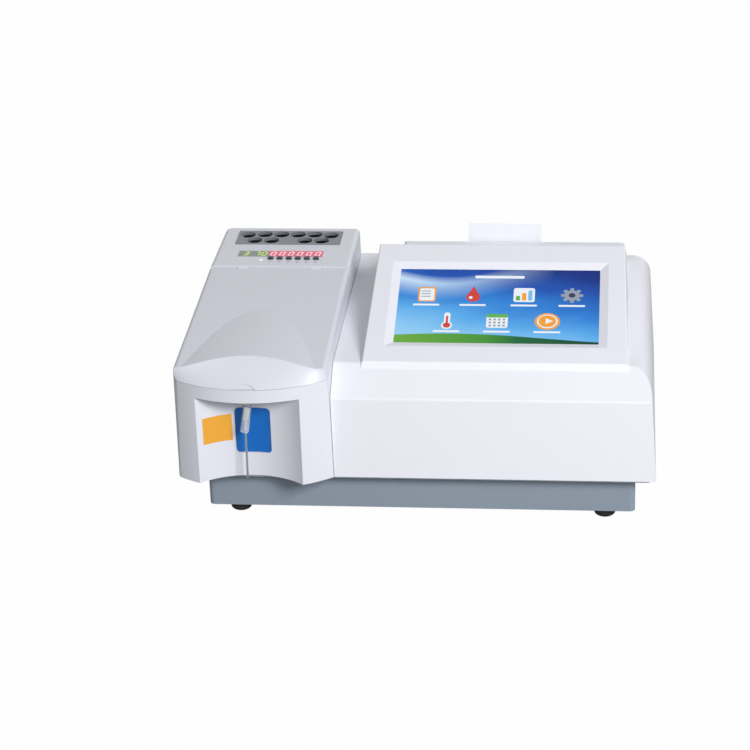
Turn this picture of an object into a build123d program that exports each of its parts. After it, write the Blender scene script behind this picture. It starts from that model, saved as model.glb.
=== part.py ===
from build123d import *
import math
import os

# Semi-automatic biochemistry analyzer, millimetres.
# X runs to the right, Y to the rear, Z up. The origin is on the bench under the middle of the box.

# Seams, walls and clearances
WALL = 2.4
SHEET = 1.5
JOINT_GAP = 0.4
SEAM_GAP = 0.3
RUNNING = 0.05
LEAST_ROUND = 0.8
SEAM_Z = 39.35
REAR_Y = 134.5

# Tray and feet
TRAY_LEFT_INSET = 16.3
TRAY_FRONT_Y = -102.0
TRAY_REAR_Y = 127.0
TRAY_FLOOR_Z = 8.0
TRAY_BACK_Z = 50.0
TRAY_CORNER_R = 4.0
RIM_INSET = 1.8
RIM_W = 13.3
TONGUE_INSET = 3.0
RIM_FRONT_Y = -112.6
FOOT_R = 8.2
FOOT_INSET = 22.6
FOOT_Y = 90.5
FOOT_ROUND = 3.2
SCREW_R = 1.5
SCREW_HEAD_R = 3.0
SCREW_HEAD_H = 2.0
SCREW_INSET = 7.85
SCREW_LEFT_INSET = 10.85
SCREW_RIGHT_Y = (-60.0, 70.0)
SCREW_LEFT_Y = (-40.0, 80.0)
BOSS_R = 3.4
BOSS_H = 12.0

# Main housing
MAIN_RIGHT_X = 176.1
MAIN_DRAFT = math.radians(3.4)
MAIN_TOP_Z = 117.9
MAIN_TOP_ROUND = 15.0
CREST_ROUND = 4.0
SHELF_ROUND = 2.0
FRONT_Y = -114.0
SHELF_Y = -108.5
SHELF_Z = 101.7
CREST_Y = -79.5
DISPLAY_WELL_X = (-30.0, 141.0)
DISPLAY_WELL_Y = (-68.0, 38.0)

# Left tower, its front bow and its sample recess
TOWER_LEFT_X = -177.3
TOWER_RIGHT_X = -63.5
TOWER_DRAFT = math.radians(1.3)
TOWER_LEFT_DRAFT = math.radians(0.5)
TOWER_FLARE = math.radians(0.73)
TOWER_TOP_Z = 139.4
TOWER_EDGE_R = 3.5
TOWER_MID_X = -123.8
NOSE_Y = -136.0
NOSE_R = 95.0
FRONT_CORNER_R = 9.0
FRONT_CORNER_Y = -116.0
REAR_CORNER_R = 7.0
PANEL_T = 3.0
RECESS_TOP_Z = 110.0
RECESS_BACK_Y = -113.0
RECESS_R = 58.3
DECK_T = 2.5

# Sampling cover
COVER_SEAM_Z = 120.0
COVER_REAR_Y = 54.2
COVER_SLOPE = math.radians(3.3)
RIDGE_Y = -109.0
RIDGE_Z = 136.0
RIDGE_END_Y = -118.0
HUMP_R = 192.0
HUMP_HALF_X = 51.5
HUMP_RISE = math.radians(0.58)
COVER_BARREL_R = 3.0
BARREL_INSET = 1.2
COVER_PIN_R = 1.5
COVER_LUG_X = (-150.0, -92.0)
COVER_LUG_W = 9.0
COVER_PIN_REACH = 9.5
NOTCH_W = 17.0
NOTCH_H = 3.0
NOTCH_DEPTH = 1.1

# Display console
CONSOLE_LEFT_X = -43.4
CONSOLE_RIGHT_X = 154.4
CONSOLE_FOOT_Y = -84.5
CONSOLE_FRONT_Y = -81.0
CONSOLE_FRONT_Z = 119.7
CONSOLE_REAR_Y = 51.5
CONSOLE_TILT = math.radians(17.2)
CONSOLE_DRAFT = math.radians(4.0)
CONSOLE_EDGE_R = 1.2
CONSOLE_FACE = 4.4
SCREEN_X = 55.4
SCREEN_Y = -16.8
SCREEN_W = 154.1
SCREEN_H = 85.9
SCREEN_LIP = 2.4
SCREEN_SLOPE_W = 6.5
GLASS_W = 161.0
GLASS_H = 92.5
GLASS_T = 1.1
LCD_T = 5.0
LCD_BOARD_GAP = 4.0

# Printer at the back of the console
HUMP_LEFT_X = -22.0
HUMP_RIGHT_X = 150.2
PRINTER_FRONT_Y = 51.8
PRINTER_TOP_Z = 158.4
PRINTER_CREST_Y = 62.0
PRINTER_SLOPE = math.radians(30.0)
PRINTER_LENGTH = 70.0
PRINTER_EDGE_R = 3.0
PAPER_X = 57.0
PAPER_W = 57.0
PAPER_Y = 66.9
PAPER_T = 0.2
PAPER_TOP_Z = 171.8
ROLL_R = 21.5
ROLL_Y = 89.5
ROLL_Z = 112.0
ROLL_CORE_R = 6.0
BIN_HALF_X = 31.5
BIN_FRONT_Y = 62.0
BIN_REAR_Y = 112.4
BIN_WALL = 1.8
BIN_FLOOR_Z = 88.0
BIN_ROUND = 18.0
DOOR_T = 2.2
DOOR_START = 7.6
DOOR_HINGE = 62.0
DOOR_BARREL_R = 2.6
DOOR_PIN_R = 1.25
PLATEN_R = 4.8
PLATEN_SHAFT_R = 1.5
PLATEN_Z = 143.0

# Incubator and its timer panel
WELL_X = -121.6
WELL_PITCH = 13.68
WELL_R = 6.2
WELL_BACK_Y = 120.0
WELL_FRONT_Y = 107.3
WELL_END_SETBACK = 1.4
WELL_FLOOR_Z = 101.0
PLATE_X = (-163.8, -78.7)
PLATE_Y = (99.4, 127.6)
PLATE_T = 2.5
PLATE_PROUD = 0.5
BLOCK_X = (-160.4, -82.2)
BLOCK_FLOOR_Z = 94.0
WINDOW_X = (-158.2, -89.9)
WINDOW_Y = (73.5, 85.8)
WINDOW_T = 1.8
BUTTON_FIRST_X = -130.8
BUTTON_PITCH = 7.3
BUTTON_COUNT = 6
BUTTON_Y = 69.8
BUTTON_SIZE = (4.1, 4.5)
BUTTON_ROUND = 0.7
BUTTON_PROUD = 1.8
BUTTON_GAP = 0.3
BUTTON_TRAVEL = 0.8
TIMER_BOARD_Z = 128.0
TIMER_BOARD_T = 1.6

# Aspirate key and probe
KEY_X = -122.5
KEY_W = 26.0
KEY_Z = (58.8, 95.4)
KEY_ROUND = 3.0
KEY_SUNK = 0.6
KEY_GAP = 0.35
KEY_TRAVEL = 1.5
PROBE_X = -123.4
PROBE_Y = -124.0
PROBE_Z = 106.0
PROBE_TILT = math.radians(9.0)
SLEEVE_R = 3.1
SLEEVE_WALL = 0.7
SLEEVE_GAP = 0.25
SLEEVE_LENGTH = 21.0
NEEDLE_R = 0.8
NEEDLE_TIP_Z = 43.0

# Optical bench
OPTIC_Y = -58.0
OPTIC_Z = 84.0
BENCH_X = (-116.0, 66.0)
BENCH_Y = (-84.0, -22.0)
BENCH_T = 4.0
BENCH_CLEAR = 2.0
LENS_R = 10.0
LENS_BALL_R = 24.0
LENS_EDGE = 1.5
WHEEL_RIM = 3.0
WHEEL_PITCH_R = 20.0
WHEEL_X = (-22.0, -17.0)
FILTER_R = 5.0
FILTER_COUNT = 8
CELL_X = -86.0
CELL_SIDE = 12.5

# Peristaltic pump
PUMP_X = -138.0
PUMP_Y = -58.0
ROLLER_R = 3.4
ROLLER_COUNT = 3
ORBIT_R = 12.4
TUBE_R = 2.0
TUBE_ORBIT_R = 18.2
TUBE_Z = 121.0
WASTE_X = -50.0
WASTE_Z = 62.0

# Rear panel and its fittings
PANEL_LEFT_GAP = 2.0
PANEL_RIGHT_INSET = 7.5
PANEL_TOP_Z = 113.0
FAN_X = -8.0
FAN_Z = 84.0
FAN_SIDE = 50.0
INLET_INSET = 30.6
INLET_Z = 66.0
INLET_HALF = (13.8, 9.8)
INLET_FLANGE = 3.2
INLET_WALL = 1.8
SWITCH_PITCH = 34.0
SWITCH_HALF = (6.4, 9.4)
SWITCH_WALL = (1.4, 0.9)
SERIAL_X = 52.0
SERIAL_HALF = (9.2, 4.7)
SERIAL_GAP = 0.3
JACK_POST_X = 12.5
CUT_GAP = 0.2
REAR_REACH_Y = 136.0

# Posts, holes and brackets inside the tower
KEY_POST_X = 21.0
KEY_POST_Z = 77.0
KEY_FLANGE_Y = (-110.3, -108.9)
KEY_BACK_Y = -108.2
KEY_BRACKET_Y = -99.0
SWITCH_H = 3.0
TIMER_POST_X = (-152.0, -91.0)
TIMER_POST_Y = 90.5
PROBE_HOLE_R = 4.0
BLOCK_GAP = 1.0
TUBE_HOLE_Y = (18.0, 28.0)
TUBE_TURN_Y = 24.0

# Printer door, its ears and the paper slot
SLOT_START = 3.2
EAR_T = 1.6
EAR_IN = 0.7
DOOR_GAP = 0.4

# Flow cell block, optics and pump details
CELL_BLOCK_HALF = (10.0, 12.0)
CELL_BLOCK_TOP_Z = 117.0
CELL_FLOOR_Z = 72.0
SHAFT_R = 3.0
LENS_X = (9.0, 16.0)
LAMP_X = (36.0, 64.0)
MOTOR_X = (-13.0, 6.0)
NIPPLE = 3.0
PUMP_BASE_Z = 115.0
PUMP_TOP_Z = 126.0
ROLLER_PIN_R = 1.2
ROLLER_Z = (117.8, 124.3)

# Waste fitting and sample tube
WASTE_INNER_Y = 121.0
WASTE_R = 4.0
SAMPLE_TUBE_R = 1.2

# Main board and power supply
BOARD_W = 100.0
BOARD_GAP = 14.0
BOARD_Y = (-14.0, 96.0)
BOARD_Z = (16.0, 17.6)
SUPPLY_W = 78.0
SUPPLY_INSET = 9.0
SUPPLY_Y = (-8.0, 102.0)
SUPPLY_H = 34.0

# Places worked out from the sizes above
LEAN = (SHELF_Y - FRONT_Y) / (SHELF_Z - SEAM_Z)
DECK_TOP_Z = RECESS_TOP_Z + DECK_T
PANEL_UNDER_Z = TOWER_TOP_Z - PANEL_T
TRAY_TOP_OF_FLOOR = TRAY_FLOOR_Z + SHEET
PANEL_FACE_Y = TRAY_REAR_Y + SHEET
BARREL_Y = COVER_REAR_Y - JOINT_GAP - COVER_BARREL_R
BARREL_Z = TOWER_TOP_Z - COVER_BARREL_R
CONSOLE_TOP_Z = CONSOLE_FRONT_Z + (CONSOLE_REAR_Y - CONSOLE_FRONT_Y) * math.tan(CONSOLE_TILT)
PLATEN_Y = PAPER_Y + PAPER_T / 2 + 0.35 + PLATEN_R
TUBE_LEFT_X = PUMP_X - TUBE_ORBIT_R
PUMP_MOTOR_Z = (74.0, RECESS_TOP_Z)
RIM_RIGHT_X = MAIN_RIGHT_X - RIM_INSET
TRAY_RIGHT_X = RIM_RIGHT_X - RIM_W
TRAY_LEFT_X = TOWER_LEFT_X + TRAY_LEFT_INSET
SUPPLY_X = (TRAY_RIGHT_X - SUPPLY_INSET - SUPPLY_W, TRAY_RIGHT_X - SUPPLY_INSET)
BOARD_X = (SUPPLY_X[0] - BOARD_GAP - BOARD_W, SUPPLY_X[0] - BOARD_GAP)
PANEL_X = (TOWER_RIGHT_X + PANEL_LEFT_GAP, MAIN_RIGHT_X - PANEL_RIGHT_INSET)
INLET_X = PANEL_X[1] - INLET_INSET
SWITCH_X = INLET_X - SWITCH_PITCH
WHEEL_R = WHEEL_PITCH_R + FILTER_R + WHEEL_RIM
BENCH_TOP_Z = OPTIC_Z - WHEEL_R - BENCH_CLEAR
BENCH_Z = (BENCH_TOP_Z - BENCH_T, BENCH_TOP_Z)
THROUGH = 2 * MAIN_RIGHT_X


def span(x, y, z):
    """Block between pairs of limits."""
    pairs = (x, y, z)
    size = [high - low for low, high in pairs]
    middle = [(low + high) / 2 for low, high in pairs]
    return Pos(*middle) * Box(*size)


def rod(radius, start, end):
    """Round bar from one point to another."""
    along = Vector(*end) - Vector(*start)
    place = Plane(origin=Vector(*start), z_dir=along)
    return place * Cylinder(radius, along.length, align=(Align.CENTER, Align.CENTER, Align.MIN))


def side_prism(points, x, rounds=0.0, picks=()):
    """Outline drawn in Y and Z, with picked corners rounded, drawn out between two X limits."""
    face = make_face(Polyline(*points, close=True))
    if rounds:
        corners = [v for v in face.vertices() if any(abs(v.X - y) + abs(v.Y - z) < 1e-6 for y, z in picks)]
        face = fillet(corners, rounds)
    return extrude(Plane.YZ.offset(x[0]) * face, amount=x[1] - x[0])


def front_prism(points, y, rounds=0.0, picks=(), slope=0.0, flare=0.0):
    """Outline in X and Z at the rear limit, drawn out forwards, sinking by the slope and leaning left."""
    face = make_face(Polyline(*points, close=True))
    if rounds:
        corners = [v for v in face.vertices() if any(abs(v.X - x) + abs(v.Y - z) < 1e-6 for x, z in picks)]
        face = fillet(corners, rounds)
    along = Vector(-math.tan(flare), -1, -math.tan(slope)) * (y[1] - y[0])
    return extrude(Plane.XZ.offset(-y[1]) * face, amount=along.length, dir=along)


def crossed(side_face, end_face):
    """What a side view and an end view share, each drawn right through the object."""
    along_x = extrude(Plane.YZ.offset(-THROUGH) * side_face, amount=2 * THROUGH)
    along_y = extrude(Plane.XZ.offset(-THROUGH) * end_face, amount=2 * THROUGH)
    return along_x & along_y


def tower_x(z, inset=0.0):
    """Left and right faces of the drafted tower at its rear, at a height."""
    up = z - SEAM_Z
    return (TOWER_LEFT_X + up * math.tan(TOWER_LEFT_DRAFT) + inset,
            TOWER_RIGHT_X - up * math.tan(TOWER_DRAFT) - inset)


def left_face_x(z, y, inset=0.0):
    """Left face of the tower, which flares a little towards the front."""
    return tower_x(z, inset)[0] - (REAR_Y - y) * math.tan(TOWER_FLARE)


def tower_prism(z, y, inset=0.0, rounds=0.0, slope=0.0):
    """Tower's front view drawn out forwards: straight on its right, flared on its left."""
    low, high = tower_x(z[0], inset), tower_x(z[1], inset)
    right = [(TOWER_MID_X, z[0]), (low[1], z[0]), (high[1], z[1]), (TOWER_MID_X, z[1])]
    past_mid = TOWER_MID_X + 10
    left = [(low[0], z[0]), (past_mid, z[0]), (past_mid, z[1]), (high[0], z[1])]
    shift = (REAR_Y - y[1]) * math.tan(TOWER_FLARE)
    right_half = front_prism(right, y, rounds, right[2:3], slope)
    left_half = front_prism(left, y, rounds, left[3:], slope, TOWER_FLARE)
    return right_half + Pos(-shift, 0, 0) * left_half


def nose_bow(inset=0.0):
    """Everything behind the bowed front of the tower."""
    bow = rod(NOSE_R - inset, (TOWER_MID_X, NOSE_Y + NOSE_R, 0), (TOWER_MID_X, NOSE_Y + NOSE_R, RIDGE_Z * 2))
    behind = span((TOWER_LEFT_X * 2, 0), (NOSE_Y + NOSE_R, REAR_Y * 2), (0, RIDGE_Z * 2))
    return bow + behind


def corner_bar(radius, y, inset):
    """Bar that an upright left corner of the tower is rounded to."""
    ends = [(left_face_x(z, y, inset) + radius, y, z) for z in (0.0, TOWER_TOP_Z + 5)]
    return rod(radius, *ends)


def front_corner_cut(inset=0.0):
    """What rounding takes off the left front corner, tangent to the bow and to the left face."""
    radius = FRONT_CORNER_R - inset
    centre_x = left_face_x(COVER_SEAM_Z, FRONT_CORNER_Y, inset) + radius
    bow = (TOWER_MID_X, NOSE_Y + NOSE_R)
    reach = NOSE_R - inset - radius
    centre_y = bow[1] - math.sqrt(reach ** 2 - (centre_x - bow[0]) ** 2)
    beyond = (centre_x + (centre_x - bow[0]) / 2, centre_y + (centre_y - bow[1]) / 2)
    far_x = centre_x - 5 * radius
    outline = [(centre_x, centre_y), beyond, (far_x, beyond[1]), (far_x, centre_y)]
    block = extrude(make_face(Polyline(*outline, close=True)), amount=TOWER_TOP_Z + 5)
    return block - corner_bar(radius, centre_y, inset)


def rear_corner_cut(inset=0.0):
    """What rounding takes off the left rear corner."""
    radius = REAR_CORNER_R - inset
    centre_y = REAR_Y - inset - radius
    near_x = left_face_x(TOWER_TOP_Z, centre_y, inset) + radius
    block = span((near_x - 5 * radius, near_x), (centre_y, centre_y + 3 * radius), (0, TOWER_TOP_Z + 5))
    return block - corner_bar(radius, centre_y, inset)


def tower_body(inset=0.0, low_z=SEAM_Z):
    """Outer form of the fixed tower, or its inside with an inset."""
    high = TOWER_TOP_Z - (PANEL_T if inset else 0.0)
    rounds = max(TOWER_EDGE_R - inset, LEAST_ROUND)
    body = tower_prism((low_z, high), (COVER_REAR_Y + inset, REAR_Y - inset), inset, rounds)
    front = tower_prism((low_z, COVER_SEAM_Z), (NOSE_Y - 5, COVER_REAR_Y + 2 * inset), inset)
    body += front & nose_bow(inset)
    return body - front_corner_cut(inset) - rear_corner_cut(inset)


def recess(grow=0.0):
    """Upright round scoop in the front of the tower."""
    centre_y = RECESS_BACK_Y - RECESS_R
    return rod(RECESS_R + grow, (TOWER_MID_X, centre_y, SEAM_Z - 5), (TOWER_MID_X, centre_y, RECESS_TOP_Z))


def key_outline(grow, y):
    """Aspirate key outline, grown all round, drawn out between two Y limits."""
    width = KEY_W + 2 * grow
    height = KEY_Z[1] - KEY_Z[0] + 2 * grow
    face = RectangleRounded(width, height, max(KEY_ROUND + grow, LEAST_ROUND))
    face = Pos(KEY_X, (KEY_Z[0] + KEY_Z[1]) / 2) * face
    return extrude(Plane.XZ.offset(-y[1]) * face, amount=y[1] - y[0])


def screw_places():
    """Under the rim: two on each side."""
    right, left = RIM_RIGHT_X - SCREW_INSET, TOWER_LEFT_X + SCREW_LEFT_INSET
    return [(right, y) for y in SCREW_RIGHT_Y] + [(left, y) for y in SCREW_LEFT_Y]


def screw_boss(place):
    """Moulded boss over a rim screw, with its blind pilot hole."""
    x, y = place
    boss = rod(BOSS_R, (x, y, SEAM_Z), (x, y, SEAM_Z + BOSS_H))
    return boss - rod(SCREW_R, (x, y, SEAM_Z), (x, y, SEAM_Z + BOSS_H - 3))


def boss_web(place):
    """Rib that ties a boss to the wall beside it."""
    x, y = place
    near, far = x + math.copysign(BOSS_R - 0.6, x), x + math.copysign(2 * SCREW_INSET, x)
    return span(sorted((near, far)), (y - 1, y + 1), (SEAM_Z, SEAM_Z + BOSS_H))


def tray_rim():
    """Outward rim under the housings, flared on its left with the tower."""
    rear_left = left_face_x(SEAM_Z, TRAY_REAR_Y, RIM_INSET)
    front_left = left_face_x(SEAM_Z, RIM_FRONT_Y, RIM_INSET)
    outline = [(front_left, RIM_FRONT_Y), (RIM_RIGHT_X, RIM_FRONT_Y), (RIM_RIGHT_X, TRAY_REAR_Y),
               (rear_left, TRAY_REAR_Y)]
    rim = extrude(Pos(0, 0, SEAM_Z - SHEET) * make_face(Polyline(*outline, close=True)), amount=SHEET)
    rim = fillet(rim.edges().filter_by(Axis.Z), TRAY_CORNER_R + 2)
    return rim + span((TOWER_LEFT_X + REAR_CORNER_R + TONGUE_INSET, TOWER_RIGHT_X - WALL),
                      (TRAY_REAR_Y - 1, REAR_Y - WALL / 2), (SEAM_Z - SHEET, SEAM_Z))


def base_tray():
    """Folded sheet tray with an outward rim that the mouldings stand on."""
    outer = span((TRAY_LEFT_X, TRAY_RIGHT_X), (TRAY_FRONT_Y, TRAY_REAR_Y), (TRAY_FLOOR_Z, SEAM_Z))
    outer = fillet(outer.edges().filter_by(Axis.Z), TRAY_CORNER_R)
    inside = span((TRAY_LEFT_X + SHEET, TRAY_RIGHT_X - SHEET), (TRAY_FRONT_Y + SHEET, TRAY_REAR_Y - SHEET),
                  (TRAY_TOP_OF_FLOOR, SEAM_Z + 1))
    inside = fillet(inside.edges().filter_by(Axis.Z), TRAY_CORNER_R - SHEET)
    tray = outer + tray_rim() - inside
    tray += span((TOWER_RIGHT_X + 3, TRAY_RIGHT_X - SHEET), (TRAY_REAR_Y - SHEET, TRAY_REAR_Y),
                 (SEAM_Z - 1, TRAY_BACK_Z))
    for x, y in screw_places():
        tray -= rod(SCREW_R + 0.2, (x, y, SEAM_Z - 3), (x, y, SEAM_Z + 1))
    for x, y in board_posts():
        tray += rod(3.0, (x, y, TRAY_TOP_OF_FLOOR), (x, y, BOARD_Z[0]))
    return tray


def feet():
    """Four round rubber feet, flat below and rounded off round the edge."""
    foot = Cylinder(FOOT_R, TRAY_FLOOR_Z, align=(Align.CENTER, Align.CENTER, Align.MIN))
    foot = fillet(foot.edges().sort_by(Axis.Z)[0], FOOT_ROUND)
    sides = (TRAY_RIGHT_X - FOOT_INSET, TRAY_LEFT_X + FOOT_INSET)
    return Compound(children=[Pos(x, y, 0) * foot for x in sides for y in (-FOOT_Y, FOOT_Y)])


def housing_screws():
    """Pan-head screws that hold both mouldings to the tray's rim."""
    under = SEAM_Z - SHEET
    screws = []
    for x, y in screw_places():
        shank = rod(SCREW_R, (x, y, under - 0.5), (x, y, SEAM_Z + BOSS_H - 4))
        screws.append(shank + rod(SCREW_HEAD_R, (x, y, under - SCREW_HEAD_H), (x, y, under)))
    return Compound(children=screws)


def main_form(inset=0.0):
    """Main housing: a front-to-back profile crossed with a rounded, drafted end view."""
    extra = 8.0 if inset else 0.0
    low = SEAM_Z - extra
    rear = REAR_Y + extra
    side = [(rear, low), (rear, MAIN_TOP_Z), (CREST_Y, MAIN_TOP_Z), (SHELF_Y, SHELF_Z),
            (FRONT_Y - extra * LEAN, low)]
    face = make_face(Polyline(*side, close=True))
    if not inset:
        for corner, radius in ((side[2], CREST_ROUND), (side[3], SHELF_ROUND)):
            near = [v for v in face.vertices() if abs(v.X - corner[0]) + abs(v.Y - corner[1]) < 1e-6]
            face = fillet(near, radius)
    draft = math.tan(MAIN_DRAFT)
    end = [(TOWER_RIGHT_X - 10, low), (MAIN_RIGHT_X + extra * draft, low),
           (MAIN_RIGHT_X - (MAIN_TOP_Z - SEAM_Z) * draft, MAIN_TOP_Z), (TOWER_RIGHT_X - 10, MAIN_TOP_Z)]
    end_face = make_face(Polyline(*end, close=True))
    end_face = fillet([v for v in end_face.vertices() if v.X > 0 and v.Y > SEAM_Z + 1], MAIN_TOP_ROUND)
    if inset:
        face = offset(face, -inset, kind=Kind.INTERSECTION)
        end_face = offset(end_face, -inset, kind=Kind.INTERSECTION)
    return crossed(face, end_face)


def main_housing():
    """Right-hand moulding with its sloping bright shelf, open below, behind and towards the tower."""
    housing = main_form() - main_form(WALL)
    low = tower_x(SEAM_Z - 20)[1] + JOINT_GAP
    high = tower_x(MAIN_TOP_Z + 20)[1] + JOINT_GAP
    beside = [(-120, SEAM_Z - 20), (low, SEAM_Z - 20), (high, MAIN_TOP_Z + 20), (-120, MAIN_TOP_Z + 20)]
    housing -= front_prism(beside, (-200, 200))
    top = (MAIN_TOP_Z - WALL - 1, MAIN_TOP_Z + 1)
    housing -= span(DISPLAY_WELL_X, DISPLAY_WELL_Y, top)
    bin_x = (PAPER_X - BIN_HALF_X - BIN_WALL - 1, PAPER_X + BIN_HALF_X + BIN_WALL + 1)
    housing -= span(bin_x, (BIN_FRONT_Y - BIN_WALL - 1, BIN_REAR_Y + BIN_WALL + 1), top)
    filled = main_form()
    for place in screw_places():
        if place[0] > TOWER_RIGHT_X:
            housing += screw_boss(place) + (boss_web(place) & filled)
    return housing


def left_housing():
    """Tower moulding: bowed front with the sample recess, deck, bulkhead and incubator panel."""
    outer = tower_body()
    inner = tower_body(WALL, SEAM_Z - 5)
    scoop = recess()
    shell = outer - inner
    shell += recess(WALL) & outer
    deck_area = inner & span((-200, 0), (-200, COVER_REAR_Y + WALL), (RECESS_TOP_Z, DECK_TOP_Z))
    shell += deck_area
    bulkhead = inner & span((-200, 0), (COVER_REAR_Y, COVER_REAR_Y + WALL), (RECESS_TOP_Z, TOWER_TOP_Z))
    shell += bulkhead
    shell -= scoop
    shell -= span((TOWER_RIGHT_X - 8, TOWER_RIGHT_X + 2), (-88, 118), (SEAM_Z + 10, RECESS_TOP_Z - 4))
    shell -= key_outline(KEY_GAP, (NOSE_Y, -100))
    for x in (-KEY_POST_X, KEY_POST_X):
        shell += key_post(KEY_X + x)
    shell -= deck_holes()
    shell -= panel_cuts()
    for x in TIMER_POST_X:
        shell += rod(2.6, (x, TIMER_POST_Y, TIMER_BOARD_Z + TIMER_BOARD_T),
                     (x, TIMER_POST_Y, PANEL_UNDER_Z + 0.5))
    for place in screw_places():
        if place[0] < TOWER_RIGHT_X:
            shell += screw_boss(place) + (boss_web(place) & outer)
    for x in COVER_LUG_X:
        shell += cover_lug(x)
    return shell


def key_post(x):
    """Post on the back of the recess wall that carries the key switch bracket."""
    wall_y = RECESS_BACK_Y - RECESS_R + math.sqrt(RECESS_R ** 2 - (x - TOWER_MID_X) ** 2)
    return rod(3.0, (x, wall_y + WALL / 2, KEY_POST_Z), (x, KEY_BRACKET_Y, KEY_POST_Z))


def deck_holes():
    """Holes in the deck for the probe, the pump shaft, the flow cell block and the waste tube."""
    low, high = RECESS_TOP_Z - 1, DECK_TOP_Z + 1
    cuts = rod(PROBE_HOLE_R, (PROBE_X, PROBE_Y, low), (PROBE_X, PROBE_Y, high))
    cuts += rod(SHAFT_R + 0.5, (PUMP_X, PUMP_Y, low), (PUMP_X, PUMP_Y, high))
    side = CELL_BLOCK_HALF
    cuts += span((CELL_X - side[0] - BLOCK_GAP, CELL_X + side[0] + BLOCK_GAP),
                 (OPTIC_Y - side[1] - BLOCK_GAP, OPTIC_Y + side[1] + BLOCK_GAP), (low, high))
    cuts += span((TUBE_LEFT_X - 4, TUBE_LEFT_X + 4), TUBE_HOLE_Y, (low, high))
    return cuts


def panel_cuts():
    """Openings in the incubator panel."""
    z = (PANEL_UNDER_Z - 1, TOWER_TOP_Z + 1)
    gap = 0.25
    y = (PLATE_Y[0] - gap, PLATE_Y[1] + gap)
    cuts = span((BLOCK_X[0] - 0.4, BLOCK_X[1] + 0.4), y, z)
    cuts += span((PLATE_X[0] - gap, PLATE_X[1] + gap), y, (plate_under_z(), z[1]))
    cuts += span((WINDOW_X[0] + 2, WINDOW_X[1] - 2), (WINDOW_Y[0] + 1, WINDOW_Y[1] - 1), z)
    cuts += span((WINDOW_X[0] - 0.1, WINDOW_X[1] + 0.1), (WINDOW_Y[0] - 0.1, WINDOW_Y[1] + 0.1),
                 (TOWER_TOP_Z - WINDOW_T, z[1]))
    for x in button_places():
        cuts += button_block(x, BUTTON_GAP, z)
    return cuts


def plate_under_z():
    return TOWER_TOP_Z + PLATE_PROUD - PLATE_T


def button_places():
    return [BUTTON_FIRST_X + i * BUTTON_PITCH for i in range(BUTTON_COUNT)]


def button_block(x, grow, z):
    """Outline of a button, grown all round, between two heights."""
    width, depth = (size + 2 * grow for size in BUTTON_SIZE)
    face = Pos(x, BUTTON_Y, z[0]) * RectangleRounded(width, depth, BUTTON_ROUND)
    return extrude(face, amount=z[1] - z[0])


def cover_lug(x):
    """Hinge lug that stands out of the bulkhead into a notch of the cover's barrel."""
    half = COVER_LUG_W / 2
    knuckle = rod(COVER_BARREL_R, (x - half, BARREL_Y, BARREL_Z), (x + half, BARREL_Y, BARREL_Z))
    arm = span((x - half, x + half), (BARREL_Y, COVER_REAR_Y + 0.5),
               (BARREL_Z - COVER_BARREL_R, BARREL_Z + 1.2))
    bore = rod(COVER_PIN_R, (x - 20, BARREL_Y, BARREL_Z), (x + 20, BARREL_Y, BARREL_Z))
    return knuckle + arm - bore


def hinge_pins():
    """Two short pins of the sampling cover and the long pin of the printer door."""
    pins = []
    for x in COVER_LUG_X:
        ends = [(x + side * COVER_PIN_REACH, BARREL_Y, BARREL_Z) for side in (-1, 1)]
        pins.append(rod(COVER_PIN_R, *ends))
    reach = BIN_HALF_X + BIN_WALL
    y, z = slope_point(DOOR_HINGE, -DOOR_BARREL_R)
    pins.append(rod(DOOR_PIN_R, (PAPER_X - reach, y, z), (PAPER_X + reach, y, z)))
    return Compound(children=pins)


def cover_front(inset=0.0):
    """Scooped front of the cover: the bow at the seam runs up into a hollow curve at the ridge."""
    rise = (RIDGE_Y - NOSE_Y) / (RIDGE_Z - COVER_SEAM_Z)
    half = TOWER_MID_X - TOWER_LEFT_X + 6
    end_y = NOSE_Y + NOSE_R - math.sqrt(NOSE_R ** 2 - half ** 2)
    end_rise = (RIDGE_END_Y - end_y + 2.5) / (RIDGE_Z - COVER_SEAM_Z)
    sections = []
    for z in (COVER_SEAM_Z - 4, RIDGE_Z + 4):
        up = z - COVER_SEAM_Z
        middle = NOSE_Y + up * rise + inset * 1.25
        end = end_y + up * end_rise + inset * 1.1
        ends = [(TOWER_MID_X - half, end), (TOWER_MID_X + half, end)]
        bow = ThreePointArc(ends[0], (TOWER_MID_X, middle), ends[1])
        back = Polyline(ends[1], (ends[1][0], COVER_REAR_Y + 20), (ends[0][0], COVER_REAR_Y + 20), ends[0])
        sections.append(Pos(0, 0, z) * make_face([*bow.edges(), *back.edges()]))
    return loft(sections, ruled=True)


def cover_form(inset=0.0):
    """Cover: sloping top with rounded edges, the low arched hump and the scooped front."""
    rear = BARREL_Y if not inset else BARREL_Y - COVER_BARREL_R - 1.5
    sink = (COVER_REAR_Y - rear) * math.tan(COVER_SLOPE)
    top_z = TOWER_TOP_Z - sink - inset
    rounds = max(TOWER_EDGE_R - inset, LEAST_ROUND)
    form = tower_prism((COVER_SEAM_Z - 30, top_z), (NOSE_Y - 5, rear), inset, rounds, COVER_SLOPE)
    crest = RIDGE_Z - inset
    lift = math.tan(HUMP_RISE)
    front_y, back_y = NOSE_Y - 5, 20.0
    arch = rod(HUMP_R, (TOWER_MID_X, front_y, crest - HUMP_R + (RIDGE_Y - front_y) * lift),
               (TOWER_MID_X, back_y, crest - HUMP_R + (RIDGE_Y - back_y) * lift))
    half = HUMP_HALF_X - inset
    arch &= span((TOWER_MID_X - half, TOWER_MID_X + half), (front_y, rear), (COVER_SEAM_Z - 8, RIDGE_Z + 5))
    form += arch
    form &= cover_front(inset)
    form &= span((-200, 0), (-200, 100), (COVER_SEAM_Z if not inset else COVER_SEAM_Z - 3, 200))
    return form - front_corner_cut(inset)


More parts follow.
